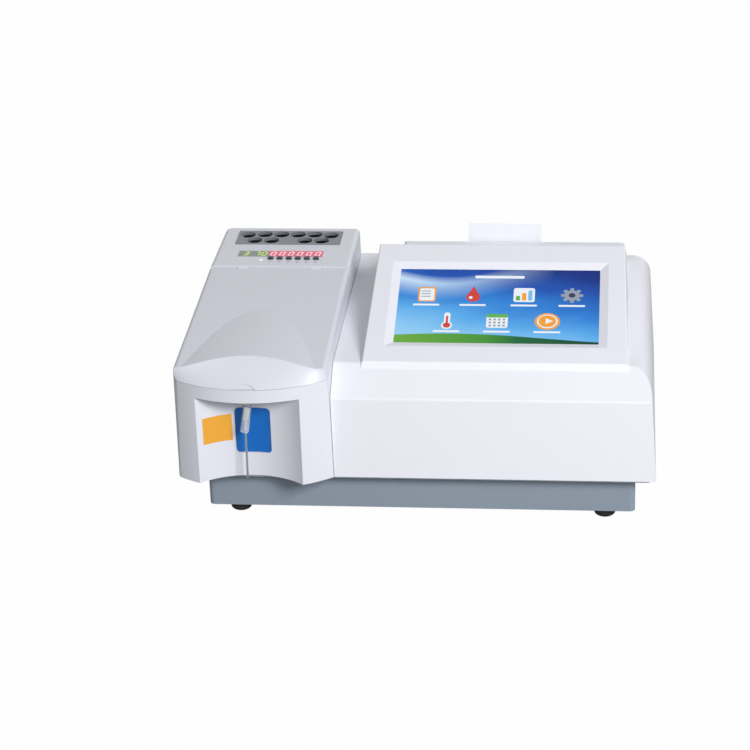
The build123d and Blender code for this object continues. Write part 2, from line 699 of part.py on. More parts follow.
def finger_notch():
    """Shallow hollow over the seam, in the middle of the nose."""
    radius = (NOTCH_W ** 2 / 4 + NOTCH_H ** 2) / (2 * NOTCH_H)
    drop = COVER_SEAM_Z + NOTCH_H - radius
    front = rod(radius, (TOWER_MID_X, NOSE_Y - 5, drop), (TOWER_MID_X, NOSE_Y + 12, drop))
    return front - cover_form(NOTCH_DEPTH)


def sampling_cover():
    """Lift-up cover over the pump and flow cell, with its hinge barrel and finger notch."""
    cover = cover_form() - cover_form(WALL)
    left, right = left_face_x(COVER_SEAM_Z, BARREL_Y, WALL), tower_x(COVER_SEAM_Z, WALL)[1]
    cover -= span((left, right), (BARREL_Y - 10, BARREL_Y + 5),
                  (COVER_SEAM_Z - 1, BARREL_Z - COVER_BARREL_R - 0.6))
    left, right = left_face_x(BARREL_Z, BARREL_Y, BARREL_INSET), tower_x(BARREL_Z, BARREL_INSET)[1]
    cover += rod(COVER_BARREL_R, (left, BARREL_Y, BARREL_Z), (right, BARREL_Y, BARREL_Z))
    half = COVER_LUG_W / 2 + JOINT_GAP
    clear = COVER_BARREL_R + JOINT_GAP
    reach = COVER_PIN_REACH + 0.5
    for x in COVER_LUG_X:
        cover -= rod(clear, (x - half, BARREL_Y, BARREL_Z), (x + half, BARREL_Y, BARREL_Z))
        cover -= span((x - half, x + half), (BARREL_Y, COVER_REAR_Y + 1), (BARREL_Z - clear, TOWER_TOP_Z + 1))
        cover -= rod(COVER_PIN_R + RUNNING, (x - reach, BARREL_Y, BARREL_Z), (x + reach, BARREL_Y, BARREL_Z))
    cover -= finger_notch()
    return cover & span((-200, 0), (-200, 100), (COVER_SEAM_Z + SEAM_GAP, 200))


def console_form(inset=0.0):
    """Wedge under the display: tilted face, upright back, drafted sides."""
    low = MAIN_TOP_Z - 8.0
    side = [(CONSOLE_FRONT_Y, CONSOLE_FRONT_Z), (CONSOLE_REAR_Y, CONSOLE_TOP_Z)]
    if inset:
        side += [(CONSOLE_REAR_Y, low), (CONSOLE_FRONT_Y, low)]
    else:
        foot_z = MAIN_TOP_Z - (CREST_Y - CONSOLE_FOOT_Y) * (MAIN_TOP_Z - SHELF_Z) / (CREST_Y - SHELF_Y)
        side += [(CONSOLE_REAR_Y, MAIN_TOP_Z), (CREST_Y, MAIN_TOP_Z), (CONSOLE_FOOT_Y, foot_z)]
    face = make_face(Polyline(*side, close=True))
    draft = math.tan(CONSOLE_DRAFT)
    high = CONSOLE_TOP_Z + 5
    end = [(CONSOLE_LEFT_X - (MAIN_TOP_Z - low) * draft, low),
           (CONSOLE_RIGHT_X + (MAIN_TOP_Z - low) * draft, low),
           (CONSOLE_RIGHT_X - (high - MAIN_TOP_Z) * draft, high),
           (CONSOLE_LEFT_X + (high - MAIN_TOP_Z) * draft, high)]
    end_face = make_face(Polyline(*end, close=True))
    if inset:
        face = offset(face, -inset, kind=Kind.INTERSECTION)
        end_face = offset(end_face, -inset, kind=Kind.INTERSECTION)
    return crossed(face, end_face)


def screen_plane(depth=0.0):
    """Plane of the tilted face at the middle of the screen, sunk by a depth."""
    z = CONSOLE_FRONT_Z + (SCREEN_Y - CONSOLE_FRONT_Y) * math.tan(CONSOLE_TILT)
    normal = Vector(0, -math.sin(CONSOLE_TILT), math.cos(CONSOLE_TILT))
    return Plane(origin=Vector(SCREEN_X, SCREEN_Y, z) - normal * depth, x_dir=(1, 0, 0), z_dir=normal)


def screen_slab(width, height, top, bottom):
    """Plate parallel to the face, between two depths below it."""
    return extrude(screen_plane(bottom) * Rectangle(width, height), amount=bottom - top)


def console_bezel():
    """Display console: thick tilted face with a sloping window frame and a rebate for the glass."""
    console = console_form()
    raised = [e for e in console.edges() if e.bounding_box().min.Z > MAIN_TOP_Z + 1]
    console = fillet(raised, CONSOLE_EDGE_R)
    hollow = console_form(WALL)
    hollow -= screen_slab(400, 400, -5, CONSOLE_FACE)
    console -= hollow
    wide = (SCREEN_W + 2 * SCREEN_SLOPE_W, SCREEN_H + 2 * SCREEN_SLOPE_W)
    step = SCREEN_SLOPE_W / SCREEN_LIP
    grown = (wide[0] + 2 * step, wide[1] + 2 * step)
    console -= loft([screen_plane(-1.0) * Rectangle(*grown),
                     screen_plane(SCREEN_LIP) * Rectangle(SCREEN_W, SCREEN_H)])
    console -= screen_slab(SCREEN_W, SCREEN_H, 0, CONSOLE_FACE + 2)
    console -= screen_slab(GLASS_W + 0.6, GLASS_H + 0.6, SCREEN_LIP, CONSOLE_FACE + 2)
    return console


def touch_glass():
    return screen_slab(GLASS_W, GLASS_H, SCREEN_LIP, SCREEN_LIP + GLASS_T)


def lcd_module():
    """Display panel in its pressed frame, with the driver board on posts behind it."""
    top = SCREEN_LIP + GLASS_T
    back = top + LCD_T
    module = screen_slab(GLASS_W - 1, GLASS_H - 1, top, back)
    module += screen_slab(118, 70, back + LCD_BOARD_GAP, back + LCD_BOARD_GAP + 1.6)
    for x in (-52, 52):
        for y in (-30, 30):
            post = Cylinder(2.5, LCD_BOARD_GAP, align=(Align.CENTER, Align.CENTER, Align.MAX))
            module += screen_plane(back) * (Pos(x, y, 0) * post)
    return module


def slope_point(along, height=0.0):
    """Y and Z of a point on the printer's back slope: distance down it and height off it."""
    y = PRINTER_CREST_Y + along * math.cos(PRINTER_SLOPE) + height * math.sin(PRINTER_SLOPE)
    z = PRINTER_TOP_Z - along * math.sin(PRINTER_SLOPE) + height * math.cos(PRINTER_SLOPE)
    return y, z


def slope_slab(x, along, height):
    """Block lying on the back slope."""
    corners = [slope_point(along[0], height[0]), slope_point(along[1], height[0]),
               slope_point(along[1], height[1]), slope_point(along[0], height[1])]
    return side_prism(corners, x)


def printer_form(inset=0.0):
    """Hump behind the console, crested at the top and sloping down to the rear."""
    low = MAIN_TOP_Z - (8.0 if inset else 0.0)
    end_y, end_z = slope_point(PRINTER_LENGTH)
    side = [(PRINTER_FRONT_Y, low), (PRINTER_FRONT_Y, PRINTER_TOP_Z), (PRINTER_CREST_Y, PRINTER_TOP_Z),
            (end_y, end_z), (end_y + 1.0, low)]
    face = make_face(Polyline(*side, close=True))
    draft = math.tan(CONSOLE_DRAFT)
    rise = PRINTER_TOP_Z - low
    end = [(HUMP_LEFT_X - rise * draft, low), (HUMP_RIGHT_X + rise * draft, low),
           (HUMP_RIGHT_X, PRINTER_TOP_Z), (HUMP_LEFT_X, PRINTER_TOP_Z)]
    end_face = make_face(Polyline(*end, close=True))
    end_face = fillet([v for v in end_face.vertices() if v.Y > PRINTER_TOP_Z - 1], PRINTER_EDGE_R)
    if inset:
        face = offset(face, -inset, kind=Kind.INTERSECTION)
        end_face = offset(end_face, -inset, kind=Kind.INTERSECTION)
    return crossed(face, end_face)


def bin_prism(grow, high_z):
    """Round-bottomed paper bin, or its outside."""
    front, rear, floor = BIN_FRONT_Y - grow, BIN_REAR_Y + grow, BIN_FLOOR_Z - grow
    points = [(front, high_z), (front, floor), (rear, floor), (rear, high_z)]
    x = (PAPER_X - BIN_HALF_X - grow, PAPER_X + BIN_HALF_X + grow)
    return side_prism(points, x, BIN_ROUND + grow, points[1:3])


def printer_housing():
    """Hump moulding with the paper bin hanging in it."""
    outer = printer_form()
    housing = outer - printer_form(WALL)
    tub = bin_prism(BIN_WALL, PRINTER_TOP_Z + 5)
    below = span((-200, 200), (0, 200), (0, MAIN_TOP_Z + 1))
    housing += tub & (outer + below)
    housing -= bin_prism(0.0, PRINTER_TOP_Z + 20) & (printer_form(WALL) + below)
    door_x = (PAPER_X - BIN_HALF_X, PAPER_X + BIN_HALF_X)
    housing -= slope_slab(door_x, (SLOT_START, DOOR_HINGE), (-6, 3))
    y, z = slope_point(DOOR_HINGE, -DOOR_BARREL_R)
    clear = DOOR_BARREL_R + JOINT_GAP
    housing -= rod(clear, (door_x[0], y, z), (door_x[1], y, z))
    housing -= slope_slab(door_x, (DOOR_HINGE - 4, DOOR_HINGE + clear), (-DOOR_BARREL_R, 3))
    reach = BIN_HALF_X + BIN_WALL
    housing -= rod(DOOR_PIN_R, (PAPER_X - reach, y, z), (PAPER_X + reach, y, z))
    for side in (-1, 1):
        wall_x = PAPER_X + side * (BIN_HALF_X + 0.5)
        hub_x = PAPER_X + side * (PAPER_W / 2 - 3)
        housing += rod(ROLL_CORE_R - 0.08, (wall_x, ROLL_Y, ROLL_Z), (hub_x, ROLL_Y, ROLL_Z))
    return housing


def printer_door():
    """Door on the back slope, with its hinge barrel and two ears for the platen."""
    half = BIN_HALF_X - DOOR_GAP
    x = (PAPER_X - half, PAPER_X + half)
    door = slope_slab(x, (DOOR_START, DOOR_HINGE), (-DOOR_T, 0))
    y, z = slope_point(DOOR_HINGE, -DOOR_BARREL_R)
    door += rod(DOOR_BARREL_R, (x[0], y, z), (x[1], y, z))
    for side in (-1, 1):
        ear = sorted(PAPER_X + side * (BIN_HALF_X - EAR_IN - t) for t in (0, EAR_T))
        points = [slope_point(DOOR_START + 2.2, -1), slope_point(DOOR_START + 22, -1),
                  (PLATEN_Y + 2.5, PLATEN_Z - 2.4), (PLATEN_Y - 2.2, PLATEN_Z - 2.4)]
        door += side_prism(points, ear)
    door -= rod(DOOR_PIN_R + RUNNING, (x[0] - 1, y, z), (x[1] + 1, y, z))
    door -= rod(PLATEN_SHAFT_R + RUNNING, (x[0] - 1, PLATEN_Y, PLATEN_Z), (x[1] + 1, PLATEN_Y, PLATEN_Z))
    grip = slope_slab((PAPER_X - 14, PAPER_X + 14), (DOOR_START + 3, DOOR_START + 5), (-0.5, 1.2))
    return door + grip


def platen_roller():
    """Rubber platen on its steel shaft."""
    half = PAPER_W / 2 + 0.3
    shaft = BIN_HALF_X - EAR_IN
    roller = rod(PLATEN_R, (PAPER_X - half, PLATEN_Y, PLATEN_Z), (PAPER_X + half, PLATEN_Y, PLATEN_Z))
    return roller + rod(PLATEN_SHAFT_R, (PAPER_X - shaft, PLATEN_Y, PLATEN_Z),
                        (PAPER_X + shaft, PLATEN_Y, PLATEN_Z))


def print_head():
    """Thermal head on its heat sink, against the front wall of the bin."""
    face_y = PAPER_Y - PAPER_T / 2 - 0.4
    x = (PAPER_X - PAPER_W / 2, PAPER_X + PAPER_W / 2)
    points = [(BIN_FRONT_Y, 136), (face_y - 1.2, 136), (face_y, 139), (face_y, 147), (face_y - 1.2, 149),
              (BIN_FRONT_Y, 149)]
    head = side_prism(points, x)
    head += span((x[0] + 4, x[1] - 4), (BIN_FRONT_Y, BIN_FRONT_Y + 1.5), (126, 137))
    return head


def paper_roll():
    """Thermal paper roll on its hollow core."""
    half = PAPER_W / 2
    roll = rod(ROLL_R, (PAPER_X - half, ROLL_Y, ROLL_Z), (PAPER_X + half, ROLL_Y, ROLL_Z))
    return roll - rod(ROLL_CORE_R, (PAPER_X - half - 1, ROLL_Y, ROLL_Z), (PAPER_X + half + 1, ROLL_Y, ROLL_Z))


def paper_strip():
    """Paper from the front of the roll, up between head and platen and out of the slot."""
    half = PAPER_W / 2
    low_y = ROLL_Y - ROLL_R - 0.4
    centre = [(low_y, ROLL_Z + 3), (PAPER_Y, PLATEN_Z - 5), (PAPER_Y, PLATEN_Z + 5),
              (PAPER_Y - 0.6, PAPER_TOP_Z)]
    front = [(y - PAPER_T / 2, z) for y, z in centre]
    back = [(y + PAPER_T / 2, z) for y, z in reversed(centre)]
    return side_prism(front + back, (PAPER_X - half, PAPER_X + half))


def well_places():
    """Ten wells: six behind, the outer two set forward, and four in front with a gap."""
    back = [(WELL_X + (i - 2.5) * WELL_PITCH, WELL_BACK_Y - (WELL_END_SETBACK if i in (0, 5) else 0))
            for i in range(6)]
    front = [(WELL_X + i * WELL_PITCH, WELL_FRONT_Y) for i in (-2, -1, 1, 2)]
    return back + front


def well_plate():
    """Grey cover plate of the incubator, set in the panel and a little proud of it."""
    low = plate_under_z()
    plate = span(PLATE_X, PLATE_Y, (low, low + PLATE_T))
    for x, y in well_places():
        plate -= rod(WELL_R, (x, y, low - 1), (x, y, low + PLATE_T + 1))
    return plate


def heater_block():
    """Aluminium incubator block with blind wells, and the heating mat stuck under it."""
    top = plate_under_z()
    block = span(BLOCK_X, (PLATE_Y[0] + 0.3, PLATE_Y[1] - 0.2), (BLOCK_FLOOR_Z, top))
    for x, y in well_places():
        block -= rod(WELL_R, (x, y, WELL_FLOOR_Z), (x, y, top + 1))
    return block


def timer_window():
    """Tinted strip over the temperature and timer digits, flush in the panel."""
    return span(WINDOW_X, WINDOW_Y, (TOWER_TOP_Z - WINDOW_T, TOWER_TOP_Z - 0.1))


def timer_board():
    """Board hanging from two posts, with its digit modules and one push switch per button."""
    top = TIMER_BOARD_Z + TIMER_BOARD_T
    board = span((-162, -82), (62, 95), (TIMER_BOARD_Z, top))
    digit_x = [WINDOW_X[0] + 6.5 + 8.05 * i for i in range(8)]
    for x in digit_x:
        board += span((x - 3.6, x + 3.6), (WINDOW_Y[0] + 1.4, WINDOW_Y[1] - 1.4), (top, PANEL_UNDER_Z))
    for x in button_places():
        board += span((x - 3, x + 3), (BUTTON_Y - 3, BUTTON_Y + 3), (top, top + SWITCH_H))
    return board


def timer_button(x):
    """Button cap through the panel with a softened top, its retaining flange and its stem."""
    flange_z = (PANEL_UNDER_Z - 1.2, PANEL_UNDER_Z - JOINT_GAP)
    cap = button_block(x, 0.0, (flange_z[0], TOWER_TOP_Z + BUTTON_PROUD))
    cap = fillet(cap.faces().sort_by(Axis.Z)[-1].edges(), BUTTON_ROUND)
    stem_low = TIMER_BOARD_Z + TIMER_BOARD_T + SWITCH_H + BUTTON_TRAVEL + JOINT_GAP
    stem = rod(1.0, (x, BUTTON_Y, stem_low), (x, BUTTON_Y, flange_z[1]))
    return cap + button_block(x, 1.0, flange_z) + stem


def aspirate_key():
    """Blue key whose hollow face follows the recess wall, with its flange and switch post."""
    key = key_outline(0.0, (NOSE_Y, KEY_FLANGE_Y[1]))
    key -= recess(KEY_SUNK)
    key += key_outline(1.6, KEY_FLANGE_Y)
    key -= key_outline(-3.0, (KEY_FLANGE_Y[0] - 0.4, KEY_FLANGE_Y[1] + 1)) - key_post_slab()
    return key + key_post_slab()


def key_post_slab():
    return span((KEY_X - 4, KEY_X + 4), (KEY_FLANGE_Y[0] - 0.6, KEY_BACK_Y), (KEY_POST_Z - 6, KEY_POST_Z + 6))


def key_switch():
    """Push switch of the aspirate key on its bracket."""
    reach = KEY_POST_X + 4
    bracket = span((KEY_X - reach, KEY_X + reach), (KEY_BRACKET_Y, KEY_BRACKET_Y + SHEET), (70, 84))
    face = KEY_BACK_Y + KEY_TRAVEL + 0.3
    body = span((KEY_X - 10, KEY_X + 10), (face + 1.6, KEY_BRACKET_Y), (KEY_POST_Z - 5, KEY_POST_Z + 5))
    plunger = rod(1.6, (KEY_X, face, KEY_POST_Z), (KEY_X, face + 2, KEY_POST_Z))
    return bracket + body + plunger


def probe_point(distance):
    """Point on the leaning probe, a distance below its bend."""
    return (PROBE_X - distance * math.sin(PROBE_TILT), PROBE_Y, PROBE_Z - distance * math.cos(PROBE_TILT))


def probe_holder():
    """Probe nut in the deck, with the nipple that holds the leaning probe."""
    holder = rod(PROBE_HOLE_R - 0.1, (PROBE_X, PROBE_Y, PROBE_Z), (PROBE_X, PROBE_Y, DECK_TOP_Z + 1))
    holder += extrude(Pos(PROBE_X, PROBE_Y, DECK_TOP_Z) * RegularPolygon(6.0, 6), amount=2.4)
    holder += Pos(PROBE_X, PROBE_Y, PROBE_Z) * Sphere(PROBE_HOLE_R - 0.1)
    holder += rod(SLEEVE_R - SLEEVE_WALL, probe_point(0), probe_point(4 + SLEEVE_LENGTH * 0.5))
    return holder - rod(NEEDLE_R, probe_point(4), probe_point(60))


def probe_sleeve():
    """Clear sleeve pushed over the nipple."""
    sleeve = rod(SLEEVE_R, probe_point(4), probe_point(4 + SLEEVE_LENGTH))
    sleeve -= rod(SLEEVE_R - SLEEVE_WALL, probe_point(3), probe_point(4 + SLEEVE_LENGTH * 0.5))
    return sleeve - needle_rod(NEEDLE_R + SLEEVE_GAP)


def needle_rod(radius):
    """Leaning top of the needle inside the sleeve, then its nearly upright lower length."""
    bend = probe_point(SLEEVE_LENGTH - 2)
    path = FilletPolyline(probe_point(4), bend, (bend[0] - 0.5, PROBE_Y, NEEDLE_TIP_Z), radius=30.0)
    return tube_along(Wire([*path.edges()]), radius)


def aspiration_needle():
    return needle_rod(NEEDLE_R)


def optics_bench():
    """Bench plate on four legs, with the upright that holds the condenser lens."""
    bench = span(BENCH_X, BENCH_Y, BENCH_Z)
    for x in (BENCH_X[0] + 8, BENCH_X[1] - 8):
        for y in (BENCH_Y[0] + 6, BENCH_Y[1] - 6):
            bench += rod(4.0, (x, y, TRAY_TOP_OF_FLOOR), (x, y, BENCH_Z[1]))
    upright = span(LENS_X, (OPTIC_Y - 13, OPTIC_Y + 13), (BENCH_Z[1], OPTIC_Z))
    upright += rod(13.0, (LENS_X[0], OPTIC_Y, OPTIC_Z), (LENS_X[1], OPTIC_Y, OPTIC_Z))
    upright -= rod(LENS_R, (LENS_X[0] - 1, OPTIC_Y, OPTIC_Z), (LENS_X[1] + 1, OPTIC_Y, OPTIC_Z))
    return bench + upright


def condenser_lens():
    """Double-curved lens seated in the upright."""
    middle = sum(LENS_X) / 2
    lens = rod(LENS_R, (LENS_X[0], OPTIC_Y, OPTIC_Z), (LENS_X[1], OPTIC_Y, OPTIC_Z))
    reach = math.sqrt(LENS_BALL_R ** 2 - LENS_R ** 2) - LENS_EDGE / 2
    for side in (-1, 1):
        ball = Plane(origin=(middle + side * reach, OPTIC_Y, OPTIC_Z), z_dir=(1, 0, 0)) * Sphere(LENS_BALL_R)
        lens = lens.intersect(ball)[0]
    return lens


def lamp_housing():
    """Finned lamp house with a round chamber open at the top and a light outlet."""
    y = (OPTIC_Y - 16, OPTIC_Y + 16)
    house = span(LAMP_X, y, (BENCH_Z[1], 104))
    for i in range(5):
        x = LAMP_X[0] + 8 + i * 5
        house -= span((x, x + 2.4), (y[0] - 1, y[0] + 5), (60, 105))
        house -= span((x, x + 2.4), (y[1] - 5, y[1] + 1), (60, 105))
    middle = sum(LAMP_X) / 2
    house -= rod(9.0, (middle, OPTIC_Y, 60), (middle, OPTIC_Y, 105))
    return house - rod(5.0, (LAMP_X[0] - 1, OPTIC_Y, OPTIC_Z), (middle, OPTIC_Y, OPTIC_Z))


def halogen_lamp():
    """Halogen lamp: ceramic foot, quartz bulb and sealed tip."""
    middle = sum(LAMP_X) / 2
    lamp = rod(6.0, (middle, OPTIC_Y, 60), (middle, OPTIC_Y, 70))
    lamp += rod(4.6, (middle, OPTIC_Y, 70), (middle, OPTIC_Y, 88))
    return lamp + Pos(middle, OPTIC_Y, 88) * Sphere(4.6)


def filter_places():
    """Filters round the wheel, one of them on the light path."""
    wheel_y = OPTIC_Y + WHEEL_PITCH_R
    turn = 2 * math.pi / FILTER_COUNT
    return [(wheel_y - WHEEL_PITCH_R * math.cos(i * turn), OPTIC_Z + WHEEL_PITCH_R * math.sin(i * turn))
            for i in range(FILTER_COUNT)]


def filter_wheel():
    """Wheel of filters on its shaft."""
    wheel_y = OPTIC_Y + WHEEL_PITCH_R
    wheel = rod(WHEEL_R, (WHEEL_X[0], wheel_y, OPTIC_Z), (WHEEL_X[1], wheel_y, OPTIC_Z))
    for y, z in filter_places():
        wheel -= rod(FILTER_R, (WHEEL_X[0] - 1, y, z), (WHEEL_X[1] + 1, y, z))
    wheel += rod(6.0, (WHEEL_X[0] - 3, wheel_y, OPTIC_Z), (WHEEL_X[0], wheel_y, OPTIC_Z))
    return wheel + rod(2.5, (WHEEL_X[1] - 1, wheel_y, OPTIC_Z), (MOTOR_X[0] + 6, wheel_y, OPTIC_Z))


def optical_filters():
    """Interference filters seated in the wheel."""
    middle = sum(WHEEL_X) / 2
    filters = [rod(FILTER_R, (middle - 1, y, z), (middle + 1, y, z)) for y, z in filter_places()]
    return Compound(children=filters)


def filter_motor():
    """Stepper motor of the wheel on its foot."""
    wheel_y = OPTIC_Y + WHEEL_PITCH_R
    motor = rod(14.0, (MOTOR_X[0], wheel_y, OPTIC_Z), (MOTOR_X[1], wheel_y, OPTIC_Z))
    motor += span(MOTOR_X, (wheel_y - 11, wheel_y + 11), (BENCH_Z[1], OPTIC_Z - 8))
    return motor - rod(2.5 + RUNNING, (MOTOR_X[0] - 1, wheel_y, OPTIC_Z), (MOTOR_X[0] + 7, wheel_y, OPTIC_Z))


def flow_cell_block():
    """Thermostatted holder of the flow cell, crossed by the light path."""
    x = (CELL_X - CELL_BLOCK_HALF[0], CELL_X + CELL_BLOCK_HALF[0])
    y = (OPTIC_Y - CELL_BLOCK_HALF[1], OPTIC_Y + CELL_BLOCK_HALF[1])
    block = span(x, y, (BENCH_Z[1], CELL_BLOCK_TOP_Z))
    half = CELL_SIDE / 2 + RUNNING
    block -= span((CELL_X - half, CELL_X + half), (OPTIC_Y - half, OPTIC_Y + half),
                  (CELL_FLOOR_Z, CELL_BLOCK_TOP_Z + 1))
    return block - rod(3.0, (x[0] - 1, OPTIC_Y, OPTIC_Z), (x[1] + 1, OPTIC_Y, OPTIC_Z))


def flow_cell():
    """Flow cell with its cap and two tube nipples."""
    half = CELL_SIDE / 2
    cell = span((CELL_X - half, CELL_X + half), (OPTIC_Y - half, OPTIC_Y + half),
                (CELL_FLOOR_Z, CELL_BLOCK_TOP_Z))
    cap = 8.0
    cell += span((CELL_X - cap, CELL_X + cap), (OPTIC_Y - cap, OPTIC_Y + cap), (CELL_BLOCK_TOP_Z, 125))
    cell += rod(1.6, (CELL_X, OPTIC_Y - cap - NIPPLE, TUBE_Z), (CELL_X, OPTIC_Y + cap + NIPPLE, TUBE_Z))
    return cell


def detector():
    """Photodiode in its can on an upright board."""
    board_x = (-112.0, -110.4)
    board = span(board_x, (OPTIC_Y - 14, OPTIC_Y + 14), (BENCH_Z[1], 104))
    board += span((-112, -105), (OPTIC_Y - 10, OPTIC_Y + 10), (BENCH_Z[1], BENCH_Z[1] + 5))
    can_end = CELL_X - CELL_BLOCK_HALF[0] - 2
    return board + rod(5.0, (board_x[1] - 0.5, OPTIC_Y, OPTIC_Z), (can_end, OPTIC_Y, OPTIC_Z))


def pump_axis(radius, low, high):
    return rod(radius, (PUMP_X, PUMP_Y, low), (PUMP_X, PUMP_Y, high))


def pump_head():
    """Pump head on the deck: base and the horseshoe track that backs the tube."""
    outer_r = TUBE_ORBIT_R + TUBE_R + 6
    track_r = TUBE_ORBIT_R + TUBE_R + 0.2
    ring = pump_axis(outer_r, DECK_TOP_Z, PUMP_TOP_Z)
    back = span((PUMP_X - outer_r, PUMP_X + outer_r), (PUMP_Y, PUMP_Y + 20), (DECK_TOP_Z, PUMP_TOP_Z))
    head = ring + back
    head -= pump_axis(track_r, PUMP_BASE_Z, PUMP_TOP_Z + 1)
    channel = (PUMP_X - track_r, PUMP_X + track_r)
    head -= span(channel, (PUMP_Y, PUMP_Y + 45), (PUMP_BASE_Z, PUMP_TOP_Z + 1))
    head -= span((-200, 0), (PUMP_Y + 20, 0), (DECK_TOP_Z - 1, PUMP_TOP_Z + 1))
    return head - pump_axis(SHAFT_R + 0.5, DECK_TOP_Z - 1, PUMP_BASE_Z + 1)


def roller_places():
    turn = 2 * math.pi / ROLLER_COUNT
    return [(PUMP_X + ORBIT_R * math.cos(math.pi / 2 + i * turn),
             PUMP_Y + ORBIT_R * math.sin(math.pi / 2 + i * turn))
            for i in range(ROLLER_COUNT)]


def pump_rotor():
    """Rotor of two discs with three roller pins, on its drive shaft."""
    disc_r = ORBIT_R + 2.6
    rotor = pump_axis(disc_r, PUMP_BASE_Z + 0.5, ROLLER_Z[0] - 0.3)
    rotor += pump_axis(disc_r, ROLLER_Z[1] + 0.3, PUMP_TOP_Z + 0.6)
    rotor += pump_axis(5.0, PUMP_BASE_Z + 0.5, PUMP_TOP_Z + 2)
    for x, y in roller_places():
        rotor += rod(ROLLER_PIN_R, (x, y, ROLLER_Z[0] - 0.5), (x, y, ROLLER_Z[1] + 0.5))
    return rotor + pump_axis(SHAFT_R, PUMP_MOTOR_Z[1] - 8, PUMP_BASE_Z + 1)


def pump_roller(place):
    x, y = place
    roller = rod(ROLLER_R, (x, y, ROLLER_Z[0]), (x, y, ROLLER_Z[1]))
    return roller - rod(ROLLER_PIN_R + RUNNING, (x, y, ROLLER_Z[0] - 1), (x, y, ROLLER_Z[1] + 1))


def pump_motor():
    """Geared motor hanging under the deck."""
    motor = pump_axis(14.0, *PUMP_MOTOR_Z)
    motor += pump_axis(17.0, PUMP_MOTOR_Z[1] - 3, PUMP_MOTOR_Z[1])
    return motor - pump_axis(SHAFT_R + RUNNING, PUMP_MOTOR_Z[1] - 9, PUMP_MOTOR_Z[1] + 1)


def tube_along(path, radius):
    """Solid tube along a path of straight runs and arcs."""
    start = path @ 0
    return sweep(Plane(origin=start, z_dir=path % 0) * Circle(radius), path=path)


def pump_tube():
    """Waste line: from the flow cell, round the pump track, under the deck and out at the rear."""
    start_y = OPTIC_Y + 8 + NIPPLE
    right = PUMP_X + TUBE_ORBIT_R
    turn_y = -14.0
    first = FilletPolyline((CELL_X, start_y, TUBE_Z), (CELL_X, turn_y, TUBE_Z), (right, turn_y, TUBE_Z),
                           (right, PUMP_Y, TUBE_Z), radius=14.0)
    bend = ThreePointArc((right, PUMP_Y, TUBE_Z), (PUMP_X, PUMP_Y - TUBE_ORBIT_R, TUBE_Z),
                         (TUBE_LEFT_X, PUMP_Y, TUBE_Z))
    last = FilletPolyline((TUBE_LEFT_X, PUMP_Y, TUBE_Z), (TUBE_LEFT_X, TUBE_TURN_Y, TUBE_Z),
                          (TUBE_LEFT_X, TUBE_TURN_Y, WASTE_Z), (TUBE_LEFT_X, 82, WASTE_Z),
                          (WASTE_X, 82, WASTE_Z), (WASTE_X, WASTE_INNER_Y, WASTE_Z), radius=16.0)
    path = Wire([*first.edges(), *bend.edges(), *last.edges()])
    return tube_along(path, TUBE_R)


def sample_tube():
    """Sample line from the probe nut to the flow cell."""
    low = DECK_TOP_Z + 2.4
    path = FilletPolyline((PROBE_X, PROBE_Y, low), (PROBE_X, PROBE_Y, TUBE_Z), (CELL_X - 16, -104, TUBE_Z),
                          (CELL_X, -90, TUBE_Z), (CELL_X, OPTIC_Y - 8 - NIPPLE, TUBE_Z),
                          radius=[5.0, 8.0, 12.0])
    return tube_along(Wire([*path.edges()]), SAMPLE_TUBE_R)


def board_posts():
    return [(x, y) for x in (BOARD_X[0] + 5, BOARD_X[1] - 5) for y in (BOARD_Y[0] + 5, BOARD_Y[1] - 5)]


def main_board():
    """Main circuit board on four posts, with its larger parts."""
    board = span(BOARD_X, BOARD_Y, BOARD_Z)
    top = BOARD_Z[1]
    middle = sum(BOARD_X) / 2
    for x, y, size, height in ((-20, 20, 24, 2.4), (15, 20, 16, 2.0), (15, 60, 20, 8.0), (-30, 60, 12, 5.0)):
        left = middle + x - size / 2
        board += span((left, left + size), (y - size / 2, y + size / 2), (top, top + height))
    for i in range(4):
        x = BOARD_X[0] + 18 + i * 21
        board += span((x - 7, x + 7), (BOARD_Y[1] - 12, BOARD_Y[1] - 6), (top, top + 8))
    return board


def power_supply():
    """Caged power supply on the tray floor, slotted on top."""
    top = TRAY_TOP_OF_FLOOR + SUPPLY_H
    cage = span(SUPPLY_X, SUPPLY_Y, (TRAY_TOP_OF_FLOOR, top))
    for i in range(7):
        row = SUPPLY_Y[0] + 14 + i * 13
        cage -= span((SUPPLY_X[0] + 10, SUPPLY_X[1] - 10), (row, row + 4), (top - 2, top + 1))
    return cage


def fitting_block(x, half, y, grow=0.0):
    """Block with the outline of a rear fitting, grown all round, between two Y limits."""
    width, height = half[0] + grow, half[1] + grow
    return span((x - width, x + width), y, (INLET_Z - height, INLET_Z + height))


def switch_mouth():
    """Half width and half height of the hole that the rocker tilts in."""
    return (SWITCH_HALF[0] - SWITCH_WALL[0], SWITCH_HALF[1] - SWITCH_WALL[1])


